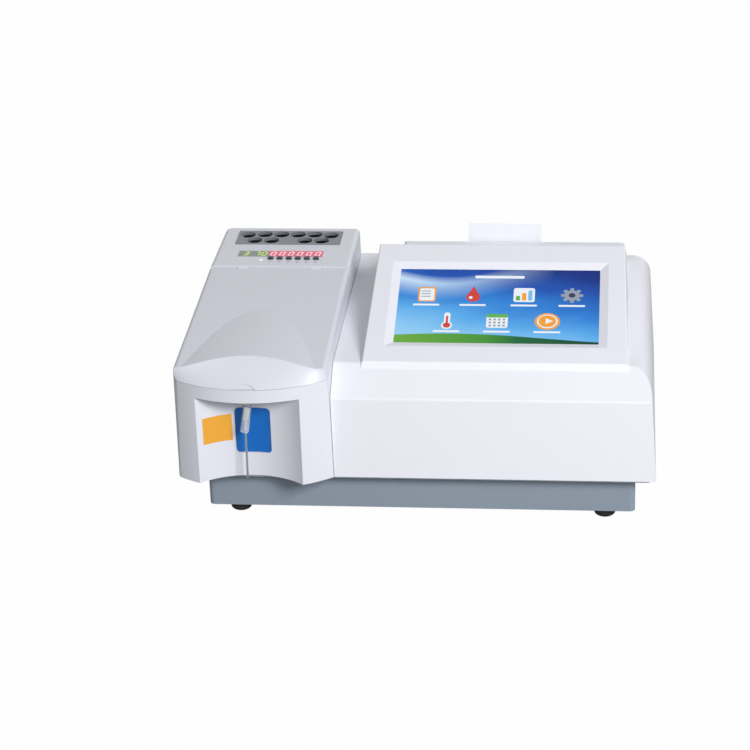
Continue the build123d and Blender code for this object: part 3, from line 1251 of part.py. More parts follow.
def rear_panel():
    """Sheet panel across the rear of the main housing, with vents, fan grille and cut-outs."""
    panel = span(PANEL_X, (TRAY_REAR_Y, PANEL_FACE_Y), (TRAY_FLOOR_Z + 4, PANEL_TOP_Z))
    panel = fillet(panel.edges().filter_by(Axis.Y).sort_by(lambda e: e.center().X + e.center().Z)[-1],
                   MAIN_TOP_ROUND)
    cut_y = (TRAY_REAR_Y - 1, PANEL_FACE_Y + 1)
    for i in range(5):
        z = FAN_Z - 18 + i * 9
        reach = math.sqrt(22 ** 2 - (z - FAN_Z) ** 2)
        panel -= span((FAN_X - reach, FAN_X + reach), cut_y, (z - 1.8, z + 1.8))
    for i in range(8):
        x = 66 + i * 8
        panel -= span((x, x + 3.4), cut_y, (96, 108))
    panel -= fitting_block(INLET_X, INLET_HALF, cut_y, CUT_GAP)
    panel -= fitting_block(SWITCH_X, SWITCH_HALF, cut_y, CUT_GAP)
    panel -= fitting_block(SERIAL_X, SERIAL_HALF, cut_y, SERIAL_GAP)
    panel -= rod(WASTE_R, (WASTE_X, cut_y[0], WASTE_Z), (WASTE_X, cut_y[1], WASTE_Z))
    return panel


def mains_inlet():
    """Mains inlet: flange, hollow shroud and three pins."""
    face = PANEL_FACE_Y + 2.5
    inlet = fitting_block(INLET_X, INLET_HALF, (PANEL_FACE_Y, face), INLET_FLANGE)
    inlet += fitting_block(INLET_X, INLET_HALF, (face - 20, PANEL_FACE_Y))
    inlet -= fitting_block(INLET_X, INLET_HALF, (face - 16, face + 1), -INLET_WALL)
    for x, z in ((-7, 1.5), (7, 1.5), (0, 5)):
        inlet += span((INLET_X + x - 1, INLET_X + x + 1), (face - 17, face - 3),
                      (INLET_Z + z - 1.5, INLET_Z + z + 1.5))
    return inlet


def power_switch():
    """Frame of the rocker switch."""
    face = PANEL_FACE_Y + 2
    flange = (SWITCH_HALF[0] + 1.4, SWITCH_HALF[1] + 1.6)
    frame = fitting_block(SWITCH_X, flange, (PANEL_FACE_Y, face))
    frame += fitting_block(SWITCH_X, SWITCH_HALF, (face - 16, PANEL_FACE_Y))
    frame -= fitting_block(SWITCH_X, switch_mouth(), (face - 9, face + 1))
    reach = switch_mouth()[0] + 1
    return frame - rod(1.0 + RUNNING, (SWITCH_X - reach, face - 2.4, INLET_Z),
                       (SWITCH_X + reach, face - 2.4, INLET_Z))


def power_rocker():
    """Rocker: shallow vee face on its cross pin."""
    face = PANEL_FACE_Y + 2
    points = [(face - 6, INLET_Z - 4), (face + 0.4, INLET_Z - 7.4), (face + 0.4 - 1.2, INLET_Z),
              (face + 3.2, INLET_Z + 6.6), (face - 6, INLET_Z + 4)]
    half = switch_mouth()[0] - JOINT_GAP
    rocker = side_prism(points, (SWITCH_X - half, SWITCH_X + half))
    reach = switch_mouth()[0] + 0.9
    return rocker + rod(1.0, (SWITCH_X - reach, face - 2.4, INLET_Z), (SWITCH_X + reach, face - 2.4, INLET_Z))


def serial_port():
    """Nine-way serial socket with its two jack posts."""
    base = span((SERIAL_X - 15.5, SERIAL_X + 15.5), (PANEL_FACE_Y, PANEL_FACE_Y + 1),
                (INLET_Z - 6.2, INLET_Z + 6.2))
    base += fitting_block(SERIAL_X, SERIAL_HALF, (PANEL_FACE_Y - 10, PANEL_FACE_Y))
    shell = [(SERIAL_X - 9.0, INLET_Z + 4.2), (SERIAL_X + 9.0, INLET_Z + 4.2),
             (SERIAL_X + 7.6, INLET_Z - 4.2), (SERIAL_X - 7.6, INLET_Z - 4.2)]
    base += front_prism(shell, (PANEL_FACE_Y, PANEL_FACE_Y + 6), 1.4, shell)
    for side in (-1, 1):
        post = Pos(SERIAL_X + side * JACK_POST_X, INLET_Z) * RegularPolygon(2.7, 6)
        base += extrude(Plane.XZ.offset(-REAR_REACH_Y) * post, amount=REAR_REACH_Y - PANEL_FACE_Y - 1)
    return base


def cooling_fan():
    """Fan frame behind the grille, with its hub and four struts."""
    half = FAN_SIDE / 2
    y = (TRAY_REAR_Y - 15, TRAY_REAR_Y)
    frame = span((FAN_X - half, FAN_X + half), y, (FAN_Z - half, FAN_Z + half))
    frame -= rod(half - 1.5, (FAN_X, y[0] - 1, FAN_Z), (FAN_X, y[1] + 1, FAN_Z))
    hub_y = y[0] + 3
    frame += rod(9.0, (FAN_X, y[0], FAN_Z), (FAN_X, hub_y, FAN_Z))
    struts = span((FAN_X - half + 1, FAN_X + half - 1), (y[0], y[0] + 2), (FAN_Z - 1.5, FAN_Z + 1.5))
    struts += span((FAN_X - 1.5, FAN_X + 1.5), (y[0], y[0] + 2), (FAN_Z - half + 1, FAN_Z + half - 1))
    return frame + struts - rod(1.5, (FAN_X, y[0] + 1, FAN_Z), (FAN_X, hub_y + 1, FAN_Z))


def fan_rotor():
    """Hub and seven raked blades on the fan's shaft."""
    y = (TRAY_REAR_Y - 11.4, TRAY_REAR_Y - 1)
    rotor = rod(9.0, (FAN_X, y[0], FAN_Z), (FAN_X, y[1], FAN_Z))
    rotor += rod(1.5 - RUNNING, (FAN_X, TRAY_REAR_Y - 13.8, FAN_Z), (FAN_X, y[0] + 1, FAN_Z))
    blade = Pos(15, 0, 0) * Rot(38, 0, 0) * Box(15, 1.2, 9)
    middle = Plane(origin=(FAN_X, sum(y) / 2, FAN_Z), x_dir=(1, 0, 0), z_dir=(0, -1, 0))
    for i in range(7):
        rotor += middle * (Rot(0, 0, i * 360 / 7) * blade)
    return rotor


def waste_fitting():
    """Barbed waste outlet through the rear panel."""
    fitting = rod(WASTE_R - 0.2, (WASTE_X, WASTE_INNER_Y, WASTE_Z), (WASTE_X, PANEL_FACE_Y + 1, WASTE_Z))
    fitting += rod(6.0, (WASTE_X, PANEL_FACE_Y, WASTE_Z), (WASTE_X, PANEL_FACE_Y + 2, WASTE_Z))
    for step in (0, 2.5):
        start = PANEL_FACE_Y + 2 + step
        barb = Plane(origin=(WASTE_X, start, WASTE_Z), z_dir=(0, 1, 0))
        fitting += barb * Cone(2.7, 2.1, 2.7, align=(Align.CENTER, Align.CENTER, Align.MIN))
    return fitting


def nodes():
    """Every sub-part by name."""
    parts = {
        "base_tray": base_tray(), "feet": feet(), "housing_screws": housing_screws(),
        "main_housing": main_housing(), "left_housing": left_housing(),
        "sampling_cover": sampling_cover(), "hinge_pins": hinge_pins(), "rear_panel": rear_panel(),
        "console_bezel": console_bezel(), "touch_glass": touch_glass(), "lcd_module": lcd_module(),
        "printer_housing": printer_housing(), "printer_door": printer_door(),
        "print_head": print_head(), "platen_roller": platen_roller(), "paper_roll": paper_roll(),
        "paper_strip": paper_strip(), "well_plate": well_plate(), "heater_block": heater_block(),
        "timer_window": timer_window(), "timer_board": timer_board(), "aspirate_key": aspirate_key(),
        "key_switch": key_switch(), "probe_holder": probe_holder(), "probe_sleeve": probe_sleeve(),
        "aspiration_needle": aspiration_needle(), "sample_tube": sample_tube(),
        "optics_bench": optics_bench(), "lamp_housing": lamp_housing(),
        "halogen_lamp": halogen_lamp(), "condenser_lens": condenser_lens(),
        "filter_wheel": filter_wheel(), "optical_filters": optical_filters(), "filter_motor": filter_motor(),
        "flow_cell_block": flow_cell_block(), "flow_cell": flow_cell(), "detector": detector(),
        "pump_head": pump_head(), "pump_rotor": pump_rotor(), "pump_motor": pump_motor(),
        "pump_tube": pump_tube(), "main_board": main_board(), "power_supply": power_supply(),
        "mains_inlet": mains_inlet(), "power_switch": power_switch(), "power_rocker": power_rocker(),
        "serial_port": serial_port(), "cooling_fan": cooling_fan(), "fan_rotor": fan_rotor(),
        "waste_fitting": waste_fitting(),
    }
    for i, x in enumerate(button_places()):
        parts[f"timer_button_{i + 1}"] = timer_button(x)
    for i, place in enumerate(roller_places()):
        parts[f"pump_roller_{i + 1}"] = pump_roller(place)
    return parts


os.makedirs("parts", exist_ok=True)
for name, solid in nodes().items():
    export_step(solid, f"parts/{name}.step")
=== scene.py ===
import math

import bmesh
import bpy
from mathutils import Matrix, Vector


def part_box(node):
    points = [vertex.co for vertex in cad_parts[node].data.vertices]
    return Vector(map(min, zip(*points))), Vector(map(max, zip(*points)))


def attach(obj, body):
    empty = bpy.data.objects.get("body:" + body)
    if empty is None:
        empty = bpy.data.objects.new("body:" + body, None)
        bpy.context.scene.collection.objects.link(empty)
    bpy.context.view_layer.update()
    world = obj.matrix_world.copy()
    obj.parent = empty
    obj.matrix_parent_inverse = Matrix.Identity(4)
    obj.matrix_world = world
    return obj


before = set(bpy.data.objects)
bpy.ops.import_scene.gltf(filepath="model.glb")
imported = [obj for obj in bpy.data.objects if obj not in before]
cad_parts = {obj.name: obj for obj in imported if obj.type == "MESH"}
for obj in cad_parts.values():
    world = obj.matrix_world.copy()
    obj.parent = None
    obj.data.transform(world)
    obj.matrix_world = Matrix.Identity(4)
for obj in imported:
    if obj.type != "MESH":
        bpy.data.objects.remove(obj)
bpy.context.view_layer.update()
MM = 0.001


# Shader node helpers

FLOAT, COLOUR, VECTOR = "NodeSocketFloat", "NodeSocketColor", "NodeSocketVector"


def add_node(tree, kind, values=None, **settings):
    """Node with its settings, and plain values on its input sockets."""
    node = tree.nodes.new("ShaderNode" + kind)
    for key, value in settings.items():
        setattr(node, key, value)
    for key, value in (values or {}).items():
        node.inputs[key].default_value = value
    return node


def math_node(tree, operation, first, second=0.0):
    """Operation on two terms, each a number or another node's output."""
    node = add_node(tree, "Math", operation=operation)
    for index, value in enumerate((first, second)):
        if isinstance(value, (int, float)):
            node.inputs[index].default_value = value
        else:
            tree.links.new(value, node.inputs[index])
    return node.outputs[0]


def mix_shaders(tree, share, under, over, output):
    """Two shaders mixed by a share and led to the tree's output node."""
    mix = add_node(tree, "MixShader")
    tree.links.new(share, mix.inputs[0])
    tree.links.new(under, mix.inputs[1])
    tree.links.new(over, mix.inputs[2])
    tree.links.new(mix.outputs[0], add_node(tree, output).inputs["Surface"])


# Camera, room light and floor

CAMERA_PLACE = (0.14817, -1.74047, 0.89041)
CAMERA_PITCH = math.radians(25.10)
CAMERA_YAW = math.radians(6.25)
CAMERA_ROLL = math.radians(-1.94)
CAMERA_LENS = 118.44
SENSOR_WIDTH = 36.0
FAR_CLIP = 50.0
WHITE = (1, 1, 1, 1)
WORLD_TINT = (0.96, 0.975, 1.0)
WORLD_LEVEL = 0.29
LAMP_PLACE = (1.325, -2.04, 1.66)
LAMP_AIM = (0.0, -0.02, 0.08)
LAMP_SIZE = (1.0, 0.8)
LAMP_POWER = 74.3
FLOOR_HALF = 6.0
FLOOR_GREY = 0.45
FLOOR_WHITE_SHARE = 0.985


def place_camera():
    data = bpy.data.cameras.new("camera")
    data.lens = CAMERA_LENS
    data.sensor_width = SENSOR_WIDTH
    data.clip_end = FAR_CLIP
    level = Vector((math.cos(CAMERA_YAW), math.sin(CAMERA_YAW), 0))
    ahead = Vector((-math.sin(CAMERA_YAW) * math.cos(CAMERA_PITCH),
                    math.cos(CAMERA_YAW) * math.cos(CAMERA_PITCH), -math.sin(CAMERA_PITCH)))
    above = level.cross(ahead)
    right = math.cos(CAMERA_ROLL) * level + math.sin(CAMERA_ROLL) * above
    up = math.cos(CAMERA_ROLL) * above - math.sin(CAMERA_ROLL) * level
    turn = Matrix((right, up, -ahead)).transposed().to_4x4()
    camera = bpy.data.objects.new("camera", data)
    camera.matrix_world = Matrix.Translation(CAMERA_PLACE) @ turn
    bpy.context.scene.collection.objects.link(camera)
    bpy.context.scene.camera = camera


def backdrop_rays(tree, kinds):
    """One for the given kinds of ray, which see the backdrop, and zero for the others."""
    path = add_node(tree, "LightPath")
    seen = path.outputs[kinds[0]]
    for kind in kinds[1:]:
        seen = math_node(tree, "MAXIMUM", seen, path.outputs[kind])
    return seen


def light_the_room():
    """Dim even world that looks white where it is seen or reflected, and one large soft lamp."""
    world = bpy.data.worlds.new("studio")
    bpy.context.scene.world = world
    world.use_nodes = True
    tree = world.node_tree
    tree.nodes.clear()
    soft = add_node(tree, "Background", {"Color": (*WORLD_TINT, 1), "Strength": WORLD_LEVEL})
    white = add_node(tree, "Background", {"Color": WHITE, "Strength": 1.0})
    rays = backdrop_rays(tree, ("Is Camera Ray", "Is Transmission Ray", "Is Glossy Ray"))
    mix_shaders(tree, rays, soft.outputs[0], white.outputs[0], "OutputWorld")
    lamp = bpy.data.lights.new("front_light", "AREA")
    lamp.shape = "RECTANGLE"
    lamp.size, lamp.size_y = LAMP_SIZE
    lamp.energy = LAMP_POWER
    holder = bpy.data.objects.new("front_light", lamp)
    aim = (Vector(LAMP_AIM) - Vector(LAMP_PLACE)).to_track_quat("-Z", "Y")
    holder.matrix_world = Matrix.Translation(LAMP_PLACE) @ aim.to_matrix().to_4x4()
    bpy.context.scene.collection.objects.link(holder)


def lay_floor():
    """Matt floor that keeps the object's shadow and looks white where the camera sees it."""
    bpy.ops.object.select_all(action="DESELECT")
    bpy.ops.mesh.primitive_plane_add(size=2 * FLOOR_HALF, location=(0, 0, 0))
    floor = bpy.context.active_object
    floor.name = "floor"
    material = bpy.data.materials.new("pale floor")
    material.use_nodes = True
    tree = material.node_tree
    tree.nodes.clear()
    matt = add_node(tree, "BsdfDiffuse", {"Color": (FLOOR_GREY, FLOOR_GREY, FLOOR_GREY, 1)})
    glow = add_node(tree, "Emission", {"Color": WHITE, "Strength": 1.0})
    rays = backdrop_rays(tree, ("Is Camera Ray", "Is Transmission Ray"))
    share = math_node(tree, "MULTIPLY", rays, FLOOR_WHITE_SHARE)
    mix_shaders(tree, share, matt.outputs[0], glow.outputs[0], "OutputMaterial")
    floor.data.materials.append(material)


# Shared effects, each a node group whose outputs vary over the surface

def new_group(name, inputs, outputs):
    """Node group with its named sockets, and its two end nodes."""
    group = bpy.data.node_groups.new(name, "ShaderNodeTree")
    for label, kind in inputs:
        group.interface.new_socket(label, in_out="INPUT", socket_type=kind)
    for label, kind in outputs:
        group.interface.new_socket(label, in_out="OUTPUT", socket_type=kind)
    return group, group.nodes.new("NodeGroupInput"), group.nodes.new("NodeGroupOutput")


def patch_swing(group, given, settings):
    """Soft patches of noise, centred on zero and scaled by the group's amount."""
    noise = add_node(group, "TexNoise", settings)
    group.links.new(given.outputs["Place"], noise.inputs["Vector"])
    group.links.new(given.outputs["Patches"], noise.inputs["Scale"])
    centred = math_node(group, "SUBTRACT", noise.outputs["Fac"], 0.5)
    return math_node(group, "MULTIPLY", centred, given.outputs["Amount"])


def make_tint_group():
    """Colour that drifts a little lighter and darker in soft patches."""
    inputs = (("Place", VECTOR), ("Colour", COLOUR), ("Patches", FLOAT), ("Amount", FLOAT))
    group, given, out = new_group("soft tint", inputs, (("Colour", COLOUR),))
    lift = math_node(group, "ADD", patch_swing(group, given, {"Detail": 3.0, "Roughness": 0.55}), 1.0)
    shade = add_node(group, "VectorMath", operation="SCALE")
    group.links.new(given.outputs["Colour"], shade.inputs[0])
    group.links.new(lift, shade.inputs["Scale"])
    group.links.new(shade.outputs["Vector"], out.inputs["Colour"])
    return group


def make_grain_group():
    """Fine moulded or sprayed texture, as a height."""
    inputs = (("Place", VECTOR), ("Grains", FLOAT), ("Blend", FLOAT))
    group, given, out = new_group("fine grain", inputs, (("Height", FLOAT),))
    cells = add_node(group, "TexVoronoi", {"Randomness": 1.0})
    noise = add_node(group, "TexNoise", {"Detail": 2.0})
    for node in (cells, noise):
        group.links.new(given.outputs["Place"], node.inputs["Vector"])
        group.links.new(given.outputs["Grains"], node.inputs["Scale"])
    part = math_node(group, "MULTIPLY", cells.outputs["Distance"], given.outputs["Blend"])
    group.links.new(math_node(group, "ADD", noise.outputs["Fac"], part), out.inputs["Height"])
    return group


def make_rub_group():
    """Roughness that changes where hands and cloths have been."""
    inputs = (("Place", VECTOR), ("Roughness", FLOAT), ("Patches", FLOAT), ("Amount", FLOAT))
    group, given, out = new_group("rubbed finish", inputs, (("Roughness", FLOAT),))
    swing = patch_swing(group, given, {"Detail": 4.0, "Roughness": 0.6, "Distortion": 0.4})
    group.links.new(math_node(group, "ADD", swing, given.outputs["Roughness"]), out.inputs["Roughness"])
    return group


def make_streak_group():
    """Brushing marks: noise drawn out by the stretch along each axis."""
    inputs = (("Place", VECTOR), ("Stretch", VECTOR))
    group, given, out = new_group("brushed streaks", inputs, (("Height", FLOAT),))
    stretch = add_node(group, "VectorMath", operation="MULTIPLY")
    group.links.new(given.outputs["Place"], stretch.inputs[0])
    group.links.new(given.outputs["Stretch"], stretch.inputs[1])
    noise = add_node(group, "TexNoise", {"Scale": 1.0, "Detail": 3.0, "Roughness": 0.7})
    group.links.new(stretch.outputs["Vector"], noise.inputs["Vector"])
    group.links.new(noise.outputs["Fac"], out.inputs["Height"])
    return group


TINT = make_tint_group()
GRAIN = make_grain_group()
RUB = make_rub_group()
STREAK = make_streak_group()


# Materials

GRAIN_BLEND = 0.5
BRUSH_STRENGTH = 0.6
UNLIT_SHARE = 0.05


def srgb(red, green, blue):
    """Linear colour of an 8-bit screen colour."""
    values = [channel / 255 for channel in (red, green, blue)]
    return tuple(v / 12.92 if v <= 0.04045 else ((v + 0.055) / 1.055) ** 2.4 for v in values)


class Finish:
    """A material in the making: its tree, its shader and the piece's own coordinates."""

    def __init__(self, name, **sockets):
        self.material = bpy.data.materials.new(name)
        self.material.use_nodes = True
        self.tree = self.material.node_tree
        self.shader = self.tree.nodes["Principled BSDF"]
        self.place = add_node(self.tree, "TexCoord").outputs["Object"]
        for key, value in sockets.items():
            self.shader.inputs[key.replace("_", " ")].default_value = value

    def group(self, which, values, output):
        node = self.tree.nodes.new("ShaderNodeGroup")
        node.node_tree = which
        self.tree.links.new(self.place, node.inputs["Place"])
        for key, value in values.items():
            node.inputs[key].default_value = value
        return node.outputs[output]

    def feed(self, output, socket):
        self.tree.links.new(output, self.shader.inputs[socket])

    def tint(self, colour, patches, amount, socket="Base Color"):
        values = {"Colour": (*colour, 1), "Patches": patches, "Amount": amount}
        self.feed(self.group(TINT, values, "Colour"), socket)
        return self

    def rub(self, roughness, patches=30.0, amount=0.12):
        values = {"Roughness": roughness, "Patches": patches, "Amount": amount}
        self.feed(self.group(RUB, values, "Roughness"), "Roughness")
        return self

    def bump(self, height, depth, strength=1.0):
        node = add_node(self.tree, "Bump", {"Strength": strength, "Distance": depth})
        self.tree.links.new(height, node.inputs["Height"])
        self.feed(node.outputs["Normal"], "Normal")
        return self

    def grain(self, grains, depth):
        return self.bump(self.group(GRAIN, {"Grains": grains, "Blend": GRAIN_BLEND}, "Height"), depth)

    def brush(self, stretch, depth):
        return self.bump(self.group(STREAK, {"Stretch": stretch}, "Height"), depth, BRUSH_STRENGTH)


def paint(part, finish):
    """The part wears this finish and no other."""
    part.data.materials.clear()
    part.data.materials.append(finish.material)
    return part


def plastic(name, colour, roughness, grains=2600.0, depth=0.00002, amount=0.05, **sockets):
    """Moulded or sprayed surface: grains to the metre, their depth in metres, swing of its colour."""
    finish = Finish(name, **sockets)
    finish.tint(colour, patches=7.0, amount=amount)
    finish.rub(roughness)
    return finish.grain(grains, depth)


def metal(name, colour, roughness, stretch, depth=0.00001):
    """Bare metal with brushing marks along the axis of least stretch."""
    finish = Finish(name, Metallic=1.0)
    finish.tint(colour, patches=20.0, amount=0.08)
    finish.rub(roughness, patches=60.0, amount=0.14)
    return finish.brush(stretch, depth)


def clear(name, colour, roughness):
    """Glass that light passes through."""
    finish = Finish(name, IOR=1.46, Transmission_Weight=1.0)
    finish.tint(colour, patches=30.0, amount=0.03)
    return finish.rub(roughness, patches=40.0, amount=0.05)


def glowing(name, colour, level=0.9, roughness=0.3):
    """Lit display matter: nearly black underneath, with its colour given out as light."""
    finish = Finish(name, Emission_Strength=level, Specular_IOR_Level=0.2)
    finish.tint(colour, patches=300.0, amount=0.06, socket="Emission Color")
    finish.tint([UNLIT_SHARE * channel for channel in colour], patches=300.0, amount=0.2)
    return finish.rub(roughness, patches=60.0, amount=0.06)


shell_white = plastic("shell white", srgb(233, 234, 241), 0.36)
tower_white = plastic("tower white", srgb(224, 226, 234), 0.46)
cover_white = plastic("cover white", srgb(216, 218, 227), 0.42)
bezel_white = plastic("bezel white", srgb(232, 233, 241), 0.4, 3000.0)
tray_slate = plastic("slate powder coat", srgb(138, 150, 163), 0.5, 1300.0, 0.00004, 0.08)
foot_rubber = plastic("foot rubber", srgb(22, 22, 24), 0.78, 1800.0, 0.00004, 0.2)
key_blue = plastic("key blue", srgb(0, 104, 192), 0.4, 3200.0, 0.00001, 0.06)
dark_plastic = plastic("dark plastic", srgb(38, 39, 42), 0.45, 2200.0, 0.00002, 0.12)
button_dark = plastic("button dark", srgb(48, 49, 54), 0.36, 3200.0, 0.00001, 0.1)
plate_grey = plastic("plate grey", srgb(122, 126, 132), 0.4, 2600.0, 0.00002, 0.08)
pump_grey = plastic("pump grey", srgb(176, 180, 184), 0.4, 2600.0, 0.00002, 0.06)
paper_white = plastic("paper", srgb(238, 239, 245), 0.8, 5200.0, 0.00001, 0.03)
board_green = plastic("board green", srgb(24, 92, 56), 0.34, 900.0, 0.00002, 0.25)
ink_grey = plastic("printed grey", srgb(92, 98, 112), 0.5, 3000.0, 0.000005, 0.1)
# Black finish of the lamp housing and filter wheel; on the aluminium heater block the same black is
# painted shade inside the wells
black_anodised_and_well_shade = plastic("black anodised, painted well shade", srgb(20, 20, 22), 0.42, 1500.0, 0.00001, 0.15)
tube_soft = plastic("soft tube", srgb(226, 224, 210), 0.3, 1400.0, 0.00001, 0.06,
                    Transmission_Weight=0.35)
milky_sleeve = plastic("milky sleeve", srgb(238, 244, 250), 0.14, 1600.0, 0.000005, 0.04,
                       Transmission_Weight=0.75)
window_green = plastic("window green grey", srgb(96, 112, 100), 0.16, 3200.0, 0.000005, 0.08,
                       Coat_Weight=0.5)
amber_film = plastic("amber film", srgb(238, 168, 52), 0.3, 1500.0, 0.00001, 0.08, Coat_Weight=0.3)

steel = metal("brushed steel", srgb(196, 198, 202), 0.28, (90.0, 900.0, 900.0))
needle_steel = metal("needle steel", srgb(206, 208, 210), 0.18, (1800.0, 1800.0, 120.0))
zinc_sheet = metal("zinc sheet", srgb(176, 180, 184), 0.4, (260.0, 260.0, 260.0), 0.00002)
aluminium = metal("milled aluminium", srgb(208, 210, 212), 0.32, (60.0, 1400.0, 1400.0))
quartz = clear("quartz", (0.97, 0.97, 0.97), 0.02)
filter_glass = clear("filter glass", (0.55, 0.42, 0.75), 0.03)

digit_green = glowing("digit green", srgb(208, 240, 96), 1.0)
field_red = glowing("field red", srgb(222, 96, 122), 0.85)
digit_pink = glowing("digit pink", srgb(255, 226, 232), 1.0)
lamp_lens = glowing("lamp lens", srgb(226, 250, 214), 0.95, 0.15)
screen_white = glowing("screen white", srgb(238, 244, 250))
screen_grey = glowing("screen grey", srgb(150, 160, 172))
screen_red = glowing("screen red", srgb(206, 66, 60))
screen_orange = glowing("screen orange", srgb(244, 160, 48))
screen_green = glowing("screen leaf", srgb(96, 178, 78))
screen_blue = glowing("screen pale blue", srgb(120, 190, 235))
screen_dark = glowing("screen ink", srgb(40, 56, 84))


# The display's picture: its places are shares of the screen's width and height, from its middle

SCREEN_SIZE = (154.1 * MM, 85.9 * MM)
SCREEN_TILT = math.radians(17.2)
SCREEN_CENTRE = (0.0554, -0.0168, 0.13957)
UNLIT_GLASS = (0.01, 0.014, 0.02)
SKY_LEAN = (0.34, 0.85)
SKY_START = 0.46
SKY_DRIFT = 0.35
SKY_STOPS = ((0.0, srgb(150, 208, 246)), (0.28, srgb(92, 174, 238)), (0.5, srgb(44, 128, 214)),
             (0.72, srgb(26, 82, 178)), (1.0, srgb(14, 40, 124)))
RIBBON_WAVES = 6.0
RIBBON_SWING = 0.10
RIBBON_LINE = 0.40
RIBBON_TOP = 0.05
RIBBON_TOP_SOFT = 0.10
RIBBON_FOOT = -0.12
RIBBON_FOOT_SOFT = 0.22
RIBBON_END = -0.08
RIBBON_END_SOFT = 0.7
RIBBON_STOPS = ((0.0, srgb(150, 200, 240)), (0.5, srgb(214, 232, 250)))
HILL_MIDDLE = -0.22
HILL_WAVES = 3.4
HILL_SWING = 0.055
HILL_LINE = -0.43
HILL_EDGE = 0.008
HILL_STOPS = ((0.0, srgb(110, 172, 58)), (0.45, srgb(70, 148, 48)), (0.6, srgb(30, 104, 50)),
              (1.0, srgb(12, 62, 40)))


def ramp(tree, value, stops):
    """Colour ramp through the given places and colours."""
    node = add_node(tree, "ValToRGB")
    colour_ramp = node.color_ramp
    while len(colour_ramp.elements) < len(stops):
        colour_ramp.elements.new(0.5)
    for element, (place, colour) in zip(colour_ramp.elements, stops):
        element.position = place
        element.color = (*colour, 1)
    tree.links.new(value, node.inputs["Fac"])
    return node.outputs["Color"]


def mix_colour(tree, share, under, over):
    node = add_node(tree, "Mix", data_type="RGBA")
    tree.links.new(share, node.inputs["Factor"])
    tree.links.new(under, node.inputs["A"])
    tree.links.new(over, node.inputs["B"])
    return node.outputs["Result"]


def band_mask(tree, height, line, soft):
    """One well below the line, none above it, with a soft edge."""
    gap = math_node(tree, "SUBTRACT", line, height)
    scaled = math_node(tree, "DIVIDE", gap, soft)
    node = add_node(tree, "Clamp")
    tree.links.new(math_node(tree, "ADD", scaled, 0.5), node.inputs["Value"])
    return node.outputs["Result"]


def display_picture():
    """Lit display under the touch glass: blue depth, one pale ribbon and a green foot band."""
    finish = Finish("display picture", Emission_Strength=0.95, Specular_IOR_Level=0.04)
    tree = finish.tree

    def plus(first, second):
        return math_node(tree, "ADD", first, second)

    def times(first, second):
        return math_node(tree, "MULTIPLY", first, second)

    local = add_node(tree, "Mapping", vector_type="TEXTURE")
    local.inputs["Location"].default_value = SCREEN_CENTRE
    local.inputs["Rotation"].default_value = (SCREEN_TILT, 0, 0)
    local.inputs["Scale"].default_value = (*SCREEN_SIZE, 1)
    tree.links.new(finish.place, local.inputs["Vector"])
    noise = add_node(tree, "TexNoise", {"Scale": 2.2, "Detail": 3.0})
    tree.links.new(local.outputs["Vector"], noise.inputs["Vector"])
    axes = add_node(tree, "SeparateXYZ")
    tree.links.new(local.outputs["Vector"], axes.inputs["Vector"])
    across, up = axes.outputs["X"], axes.outputs["Y"]

    drift = times(plus(noise.outputs["Fac"], -0.5), SKY_DRIFT)
    lean = plus(times(across, SKY_LEAN[0]), times(up, SKY_LEAN[1]))
    sky = ramp(tree, plus(plus(lean, SKY_START), drift), SKY_STOPS)

    wave = math_node(tree, "SINE", times(across, RIBBON_WAVES))
    crest = plus(times(wave, RIBBON_SWING), RIBBON_LINE)
    to_top = band_mask(tree, up, plus(crest, RIBBON_TOP), RIBBON_TOP_SOFT)
    to_foot = band_mask(tree, up, plus(crest, RIBBON_FOOT), RIBBON_FOOT_SOFT)
    fade = band_mask(tree, across, plus(times(drift, 0.5), RIBBON_END), RIBBON_END_SOFT)
    share = times(math_node(tree, "SUBTRACT", to_top, to_foot), fade)
    with_ribbon = mix_colour(tree, share, sky, ramp(tree, up, RIBBON_STOPS))

    swell = math_node(tree, "COSINE", times(plus(across, -HILL_MIDDLE), HILL_WAVES))
    hill = plus(times(swell, HILL_SWING), HILL_LINE)
    green = ramp(tree, plus(across, 0.5), HILL_STOPS)
    picture = mix_colour(tree, band_mask(tree, up, hill, HILL_EDGE), with_ribbon, green)
    finish.feed(picture, "Emission Color")
    finish.tint(UNLIT_GLASS, patches=40.0, amount=0.2)
    return finish.rub(0.22, patches=40.0, amount=0.05)


# Finish of each carried-over node

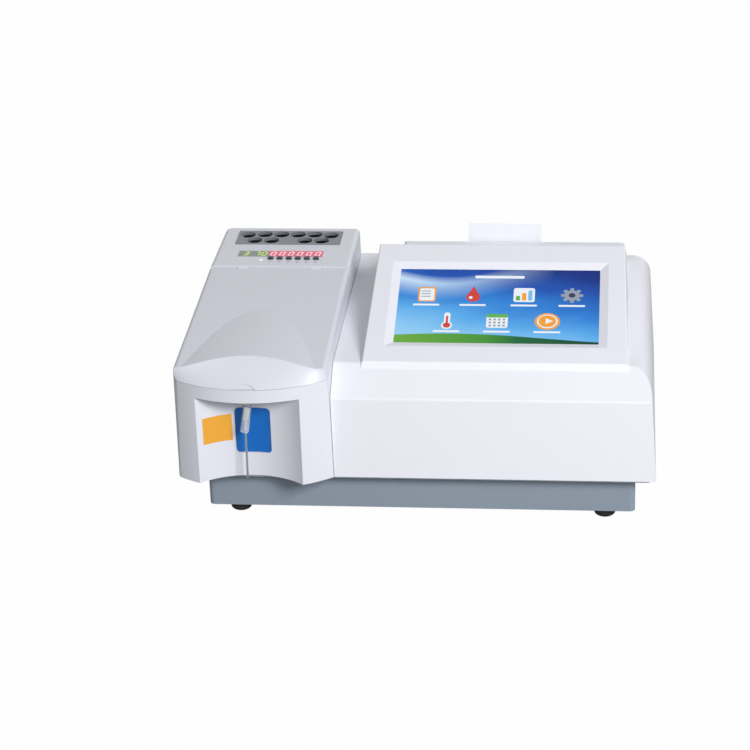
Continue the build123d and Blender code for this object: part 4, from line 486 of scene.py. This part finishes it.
BUTTON_NUMBERS = range(1, 7)
NODE_FINISH = {
    "base_tray": tray_slate, "feet": foot_rubber, "housing_screws": steel, "rear_panel": tray_slate,
    "main_housing": shell_white, "left_housing": tower_white, "sampling_cover": cover_white,
    "hinge_pins": steel, "console_bezel": bezel_white, "touch_glass": display_picture(),
    "lcd_module": dark_plastic, "printer_housing": bezel_white, "printer_door": bezel_white,
    "print_head": dark_plastic, "platen_roller": foot_rubber, "paper_roll": paper_white,
    # heater_block wears the black finish as painted shade, so that its wells read dark; the block itself
    # is aluminium
    "paper_strip": paper_white, "well_plate": plate_grey, "heater_block": black_anodised_and_well_shade,
    "timer_window": window_green, "timer_board": board_green, "aspirate_key": key_blue,
    "key_switch": dark_plastic, "probe_holder": needle_steel, "probe_sleeve": milky_sleeve,
    "aspiration_needle": needle_steel, "sample_tube": tube_soft, "optics_bench": aluminium,
    "lamp_housing": black_anodised_and_well_shade, "halogen_lamp": quartz, "condenser_lens": quartz,
    "filter_wheel": black_anodised_and_well_shade, "optical_filters": filter_glass, "filter_motor": zinc_sheet,
    "flow_cell_block": aluminium, "flow_cell": dark_plastic, "detector": board_green,
    "pump_head": pump_grey, "pump_rotor": dark_plastic, "pump_roller_1": steel, "pump_roller_2": steel,
    "pump_roller_3": steel, "pump_motor": zinc_sheet, "pump_tube": tube_soft, "main_board": board_green,
    "power_supply": zinc_sheet, "mains_inlet": dark_plastic, "power_switch": dark_plastic,
    "power_rocker": dark_plastic, "serial_port": steel, "cooling_fan": dark_plastic,
    "fan_rotor": dark_plastic, "waste_fitting": pump_grey,
}
for number in BUTTON_NUMBERS:
    NODE_FINISH[f"timer_button_{number}"] = button_dark


def dress_nodes():
    for name, finish in NODE_FINISH.items():
        paint(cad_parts[name], finish)


# Making pieces

EDGE_SEGMENTS = 3
RIM_SEGMENTS = 2
LEAST_CORNER = 0.12
ALONG_Z = 0.9
SMOOTH_ANGLE = math.radians(40)


def new_slab(centre, size, corner=0.0, turn=0.0):
    """Flat plate from a cube: its upright edges are rounded in edit mode."""
    bpy.ops.object.select_all(action="DESELECT")
    bpy.ops.mesh.primitive_cube_add(size=1.0, location=centre, rotation=(0, 0, turn), scale=size)
    plate = bpy.context.active_object
    bpy.ops.object.transform_apply(location=False, rotation=False, scale=True)
    bpy.ops.object.mode_set(mode="EDIT")
    bpy.ops.mesh.select_all(action="DESELECT")
    mesh = bmesh.from_edit_mesh(plate.data)
    for edge in mesh.edges:
        run = edge.verts[1].co - edge.verts[0].co
        edge.select = abs(run.z) > ALONG_Z * run.length
    bmesh.update_edit_mesh(plate.data)
    bpy.ops.mesh.select_mode(type="EDGE")
    radius = max(corner, LEAST_CORNER * min(size[0], size[1]))
    bpy.ops.mesh.bevel(offset=radius, segments=EDGE_SEGMENTS, affect="EDGES")
    bpy.ops.object.mode_set(mode="OBJECT")
    return plate


def new_disc(centre, radius, thick, sides=32, turn=0.0, stretch=1.0, rim=0.3):
    """Flat disc or triangle from a cylinder: its top rim is bevelled by a share of the thickness."""
    bpy.ops.object.select_all(action="DESELECT")
    bpy.ops.mesh.primitive_cylinder_add(vertices=sides, radius=radius, depth=thick, location=centre,
                                        rotation=(0, 0, turn))
    disc = bpy.context.active_object
    disc.scale = (1, stretch, 1)
    bpy.ops.object.transform_apply(location=False, rotation=False, scale=True)
    bpy.ops.object.mode_set(mode="EDIT")
    bpy.ops.mesh.select_all(action="DESELECT")
    bpy.ops.mesh.select_mode(type="FACE")
    mesh = bmesh.from_edit_mesh(disc.data)
    for face in mesh.faces:
        face.select = face.normal.z > ALONG_Z
    bmesh.update_edit_mesh(disc.data)
    bpy.ops.mesh.bevel(offset=rim * thick, segments=RIM_SEGMENTS, affect="EDGES")
    bpy.ops.object.mode_set(mode="OBJECT")
    return disc


def join_parts(parts):
    bpy.ops.object.select_all(action="DESELECT")
    for part in parts:
        part.select_set(True)
    bpy.context.view_layer.objects.active = parts[0]
    bpy.ops.object.transform_apply(location=True, rotation=True, scale=True)
    if len(parts) > 1:
        bpy.ops.object.join()
    return bpy.context.active_object


def settle(parts, name, body, place=None):
    """The parts become one finished piece, moved to its place in its own mesh, riding on its body."""
    piece = join_parts(parts)
    if place is not None:
        piece.matrix_world = place
        bpy.ops.object.transform_apply(location=True, rotation=True, scale=True)
    piece.name = name
    piece.data.name = name
    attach(piece, body)
    return piece


# Symbols on the display, in millimetres in the display's own plane

SCREEN_PLACE = Matrix.Translation(SCREEN_CENTRE) @ Matrix.Rotation(SCREEN_TILT, 4, "X")
GLASS_LEVEL = -2.4
SYMBOL_T = 0.16
LAYER_STEP = 0.9
SYMBOL_SCALE = 1.3
LABEL_DROP = 9.4
LABEL_SIZE = (15.5, 1.5)
LABEL_CORNER = 0.5
TITLE_PLACE = (0.0, 34.0)
TITLE_SIZE = (38.0, 3.0)
TITLE_CORNER = 0.9
UPPER_ROW = (-55.0, -19.5, 19.5, 56.0)
UPPER_Y = 13.0
LOWER_ROW = (-38.0, 0.0, 38.0)
LOWER_Y = -17.5
CHART_BARS = ((-3.6, 4.0, screen_green), (0.0, 6.6, screen_orange), (3.6, 9.0, screen_blue))
GEAR_TEETH = 8
GEAR_REACH = 5.2


def flat(x, y, layer=0):
    """A point of the display's plane in metres, on the given layer above the glass."""
    return (x * MM, y * MM, (GLASS_LEVEL + SYMBOL_T * (0.5 + LAYER_STEP * layer)) * MM)


def bar(x, y, width, height, finish, layer=0, corner=0.0, turn=0.0):
    size = (width * MM, height * MM, SYMBOL_T * MM)
    return paint(new_slab(flat(x, y, layer), size, corner * MM, turn), finish)


def dot(x, y, radius, finish, layer=0, sides=32, turn=0.0, stretch=1.0):
    return paint(new_disc(flat(x, y, layer), radius * MM, SYMBOL_T * MM, sides, turn, stretch), finish)


def sheet_symbol():
    parts = [bar(0, 0, 10.5, 13.0, screen_orange, 0, 1.4), bar(0, -0.3, 8.6, 10.8, screen_white, 1, 0.8)]
    parts += [bar(-0.6, 2.6 - 2.4 * i, 5.6, 0.7, screen_grey, 2) for i in range(3)]
    return parts


def drop_symbol():
    return [dot(0, -2.2, 4.2, screen_red), dot(0, 2.2, 4.1, screen_red, sides=3, stretch=1.35),
            dot(-1.4, -2.8, 1.1, screen_white, 1)]


def chart_symbol():
    parts = [bar(0, 0, 12.5, 12.5, screen_white, 0, 1.0)]
    for x, height, finish in CHART_BARS:
        parts.append(bar(x, height / 2 - 5.0, 2.4, height, finish, 1))
    return parts


def gear_symbol():
    parts = [dot(0, 0, 4.6, screen_grey)]
    for i in range(GEAR_TEETH):
        turn = i * 2 * math.pi / GEAR_TEETH
        x, y = GEAR_REACH * math.cos(turn), GEAR_REACH * math.sin(turn)
        parts.append(bar(x, y, 2.6, 2.2, screen_grey, 0, 0.3, turn))
    return parts + [dot(0, 0, 2.0, screen_dark, 1)]


def thermometer_symbol():
    return [bar(0, 1.6, 3.6, 11.0, screen_white, 0, 1.7), dot(0, -4.2, 3.2, screen_white),
            dot(0, -4.2, 2.2, screen_red, 1), bar(0, 0, 1.3, 8.0, screen_red, 1, 0.5)]


def calendar_symbol():
    parts = [bar(0, 0, 12.5, 12.0, screen_white, 0, 1.0), bar(0, 4.5, 12.5, 3.0, screen_green, 1, 0.8)]
    for column in range(4):
        for row in range(3):
            parts.append(bar(-4.1 + 2.7 * column, 1.2 - 2.7 * row, 1.5, 1.5, screen_grey, 1))
    return parts


def start_symbol():
    return [dot(0, 0, 7.4, screen_orange), dot(0, 0, 6.0, screen_white, 1),
            dot(0, 0, 5.1, screen_orange, 2), dot(0.5, 0, 2.9, screen_white, 3, 3, -math.pi / 2)]


def dress_display():
    """Each symbol over its blank label, in two rows, and the blank title over them."""
    rows = [(x, UPPER_Y) for x in UPPER_ROW] + [(x, LOWER_Y) for x in LOWER_ROW]
    makers = (sheet_symbol, drop_symbol, chart_symbol, gear_symbol, thermometer_symbol, calendar_symbol,
              start_symbol)
    larger = Matrix.Diagonal((SYMBOL_SCALE, SYMBOL_SCALE, 1, 1))
    for make, (x, y) in zip(makers, rows):
        parts = make() + [bar(0, -LABEL_DROP, *LABEL_SIZE, screen_white, 0, LABEL_CORNER)]
        place = SCREEN_PLACE @ Matrix.Translation((x * MM, y * MM, 0)) @ larger
        settle(parts, make.__name__, "cabinet", place)
    title = bar(*TITLE_PLACE, *TITLE_SIZE, screen_white, 0, TITLE_CORNER)
    settle([title], "title_bar", "cabinet", SCREEN_PLACE)


# Timer digits and the field behind them, in millimetres from the left end of the window

WINDOW_LOW, WINDOW_HIGH = (Vector(corner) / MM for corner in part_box("timer_window"))
WINDOW_MIDDLE_Y = (WINDOW_LOW.y + WINDOW_HIGH.y) / 2
DIGIT_W = 3.3
DIGIT_H = 7.4
DIGIT_SLANT = 0.16
DIGIT_T = 0.08
DIGIT_LIFT = 1.3 * DIGIT_T
SEGMENT_W = 0.85
LYING_L = DIGIT_W - SEGMENT_W
UPRIGHT_L = DIGIT_H / 2 - 0.8 * SEGMENT_W
SEGMENTS = {"0": "abcdef", "3": "abcdg", "7": "abc"}
SEGMENT_PLACES = {"a": (0, 1, True), "b": (1, 0.5, False), "c": (1, -0.5, False), "d": (0, -1, True),
                  "e": (-1, -0.5, False), "f": (-1, 0.5, False), "g": (0, 0, True)}
GREEN_DIGITS = ((6.2, "3"), (15.4, "7"), (21.0, "0"))
FIELD_START = 24.4
FIELD_T = 0.05
FIELD_LIFT = 0.03
FIELD_CORNER = 0.3
ZERO_FIRST = 28.3
ZERO_PITCH = 7.2
ZERO_COUNT = 6


def digit(x, shape, finish):
    """One slanted seven-segment digit of slim bars."""
    parts = []
    for letter in SEGMENTS[shape]:
        side, level, lies = SEGMENT_PLACES[letter]
        across = side * DIGIT_W / 2
        up = level * DIGIT_H / 2
        centre = Vector((WINDOW_LOW.x + x + across + DIGIT_SLANT * up, WINDOW_MIDDLE_Y + up,
                         WINDOW_HIGH.z + DIGIT_LIFT))
        if lies:
            size = Vector((LYING_L, SEGMENT_W, DIGIT_T))
            turn = 0.0
        else:
            size = Vector((SEGMENT_W, UPRIGHT_L, DIGIT_T))
            turn = -math.atan(DIGIT_SLANT)
        parts.append(paint(new_slab(centre * MM, size * MM, turn=turn), finish))
    return parts


def dress_timer():
    parts = []
    for x, shape in GREEN_DIGITS:
        parts += digit(x, shape, digit_green)
    settle(parts, "temperature_digits", "cabinet")
    left = WINDOW_LOW.x + FIELD_START
    centre = Vector(((left + WINDOW_HIGH.x) / 2, WINDOW_MIDDLE_Y, WINDOW_HIGH.z + FIELD_LIFT))
    size = Vector((WINDOW_HIGH.x - left, WINDOW_HIGH.y - WINDOW_LOW.y, FIELD_T))
    field = paint(new_slab(centre * MM, size * MM, FIELD_CORNER * MM), field_red)
    settle([field], "timer_field", "cabinet")
    parts = []
    for i in range(ZERO_COUNT):
        parts += digit(ZERO_FIRST + ZERO_PITCH * i, "0", digit_pink)
    settle(parts, "timer_digits", "cabinet")


# Printed figures at the buttons, and the ready lamp

PLATE_PROUD = 0.5
TOWER_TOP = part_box("well_plate")[1][2] / MM - PLATE_PROUD
NUMBER_Y = 62.6
NUMBER_SIZE = 3.4
INK_T = 0.02
INK_LIFT = 0.03
READY_LAMP = (-138.2, 66.3)
READY_LAMP_R = 1.5
READY_LAMP_T = 0.9
READY_LAMP_RIM = 0.45


def number_mark(number, x, y, top):
    """Printed figure, thin as ink, made a mesh before it is put in its place."""
    bpy.ops.object.select_all(action="DESELECT")
    bpy.ops.object.text_add(location=(0, 0, 0))
    mark = bpy.context.active_object
    mark.data.body = str(number)
    mark.data.size = NUMBER_SIZE * MM
    mark.data.align_x = "CENTER"
    mark.data.align_y = "CENTER"
    mark.data.extrude = INK_T * MM
    bpy.ops.object.convert(target="MESH")
    mark = bpy.context.active_object
    mark.location = (x * MM, y * MM, (top + INK_LIFT) * MM)
    return paint(mark, ink_grey)


def mark_the_buttons():
    """A figure in front of each button."""
    marks = []
    for number in BUTTON_NUMBERS:
        low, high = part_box(f"timer_button_{number}")
        marks.append(number_mark(number, (low[0] + high[0]) / 2 / MM, NUMBER_Y, TOWER_TOP))
    settle(marks, "button_numbers", "cabinet")


def fit_the_ready_lamp():
    """Small lit dome beside the first button."""
    centre = (READY_LAMP[0] * MM, READY_LAMP[1] * MM, TOWER_TOP * MM)
    dome = new_disc(centre, READY_LAMP_R * MM, READY_LAMP_T * MM, sides=24, rim=READY_LAMP_RIM)
    bpy.ops.object.shade_smooth_by_angle(angle=SMOOTH_ANGLE)
    settle([paint(dome, lamp_lens)], "ready_lamp", "cabinet")


# Blank amber film on the recess wall

RECESS_AXIS = (-123.8, -171.3)
RECESS_R = 58.3
FILM_X = (-158.5, -138.0)
FILM_Z = (69.5, 91.0)
FILM_T = 0.12
FILM_SEAT_R = RECESS_R - 0.05
FILM_OUTER_R = RECESS_R - 0.06
FILM_STEPS = 20
MERGE_REACH = 0.001


def wall_angle(x):
    """Angle of the recess wall at this X, measured from +X about the recess axis."""
    return math.acos((x - RECESS_AXIS[0]) / FILM_SEAT_R)


def stick_film():
    """A thin section is spun round the recess axis, so that the film follows the wall."""
    start, end = wall_angle(FILM_X[1]), wall_angle(FILM_X[0])
    bpy.ops.object.select_all(action="DESELECT")
    bpy.ops.mesh.primitive_plane_add(size=1.0, location=(0, 0, 0))
    film = bpy.context.active_object
    axis = Vector((*RECESS_AXIS, 0)) * MM
    reach = Vector((FILM_OUTER_R - FILM_T / 2, 0, (FILM_Z[0] + FILM_Z[1]) / 2)) * MM
    size = Matrix.Diagonal((FILM_T * MM, (FILM_Z[1] - FILM_Z[0]) * MM, 1, 1))
    section = Matrix.Translation(axis) @ Matrix.Rotation(start, 4, "Z") @ Matrix.Translation(reach)
    film.matrix_world = section @ Matrix.Rotation(math.pi / 2, 4, "X") @ size
    bpy.ops.object.transform_apply(location=True, rotation=True, scale=True)
    bpy.ops.object.mode_set(mode="EDIT")
    bpy.ops.mesh.select_all(action="SELECT")
    bpy.ops.mesh.spin(steps=FILM_STEPS, angle=start - end, center=axis, axis=(0, 0, 1))
    bpy.ops.mesh.select_all(action="SELECT")
    bpy.ops.mesh.remove_doubles(threshold=MERGE_REACH * MM)
    bpy.ops.mesh.normals_make_consistent(inside=False)
    bpy.ops.object.mode_set(mode="OBJECT")
    bpy.ops.object.shade_smooth_by_angle(angle=SMOOTH_ANGLE)
    settle([paint(film, amber_film)], "amber_film", "cabinet")


# Screws of the rear panel: four round the fan, two at each end

PANEL_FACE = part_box("rear_panel")[1][1] / MM
FAN_CENTRE = (-8.0, 84.0)
FAN_SCREW_REACH = 20.0
LEFT_SCREWS = ((-55.0, 60.0), (-55.0, 100.0))
RIGHT_SCREWS = ((162.0, 50.0), (162.0, 90.0))
HEAD_R = 2.7
HEAD_T = 1.5
HEAD_RIM = 0.5
HEAD_SMOOTH_ANGLE = math.radians(35)
FLAT_ON_TOP = 0.999
SOCKET_RIM = 0.8
SOCKET_DEPTH = 0.7


def screw_places():
    sides = (-FAN_SCREW_REACH, FAN_SCREW_REACH)
    round_fan = [(FAN_CENTRE[0] + x, FAN_CENTRE[1] + z) for x in sides for z in sides]
    return round_fan + [*LEFT_SCREWS, *RIGHT_SCREWS]


def panel_screw(x, z):
    """Pan head with a socket: the top face is inset and pushed in."""
    head = new_disc((0, 0, 0), HEAD_R * MM, HEAD_T * MM, sides=24, rim=HEAD_RIM)
    bpy.ops.object.mode_set(mode="EDIT")
    bpy.ops.mesh.select_all(action="DESELECT")
    mesh = bmesh.from_edit_mesh(head.data)
    for face in mesh.faces:
        face.select = face.normal.z > FLAT_ON_TOP
    bmesh.update_edit_mesh(head.data)
    bpy.ops.mesh.inset(thickness=SOCKET_RIM * MM)
    bpy.ops.mesh.extrude_region_move(TRANSFORM_OT_translate={"value": (0, 0, -SOCKET_DEPTH * MM)})
    bpy.ops.object.mode_set(mode="OBJECT")
    bpy.ops.object.shade_smooth_by_angle(angle=HEAD_SMOOTH_ANGLE)
    place = Matrix.Translation((x * MM, (PANEL_FACE + HEAD_T / 2) * MM, z * MM))
    head.matrix_world = place @ Matrix.Rotation(-math.pi / 2, 4, "X")
    return paint(head, steel)


def screw_the_panel():
    settle([panel_screw(x, z) for x, z in screw_places()], "panel_screws", "cabinet")


# The whole scene

bpy.context.scene.view_settings.view_transform = "Standard"
place_camera()
light_the_room()
lay_floor()
dress_nodes()
dress_display()
dress_timer()
mark_the_buttons()
fit_the_ready_lamp()
stick_film()
screw_the_panel()
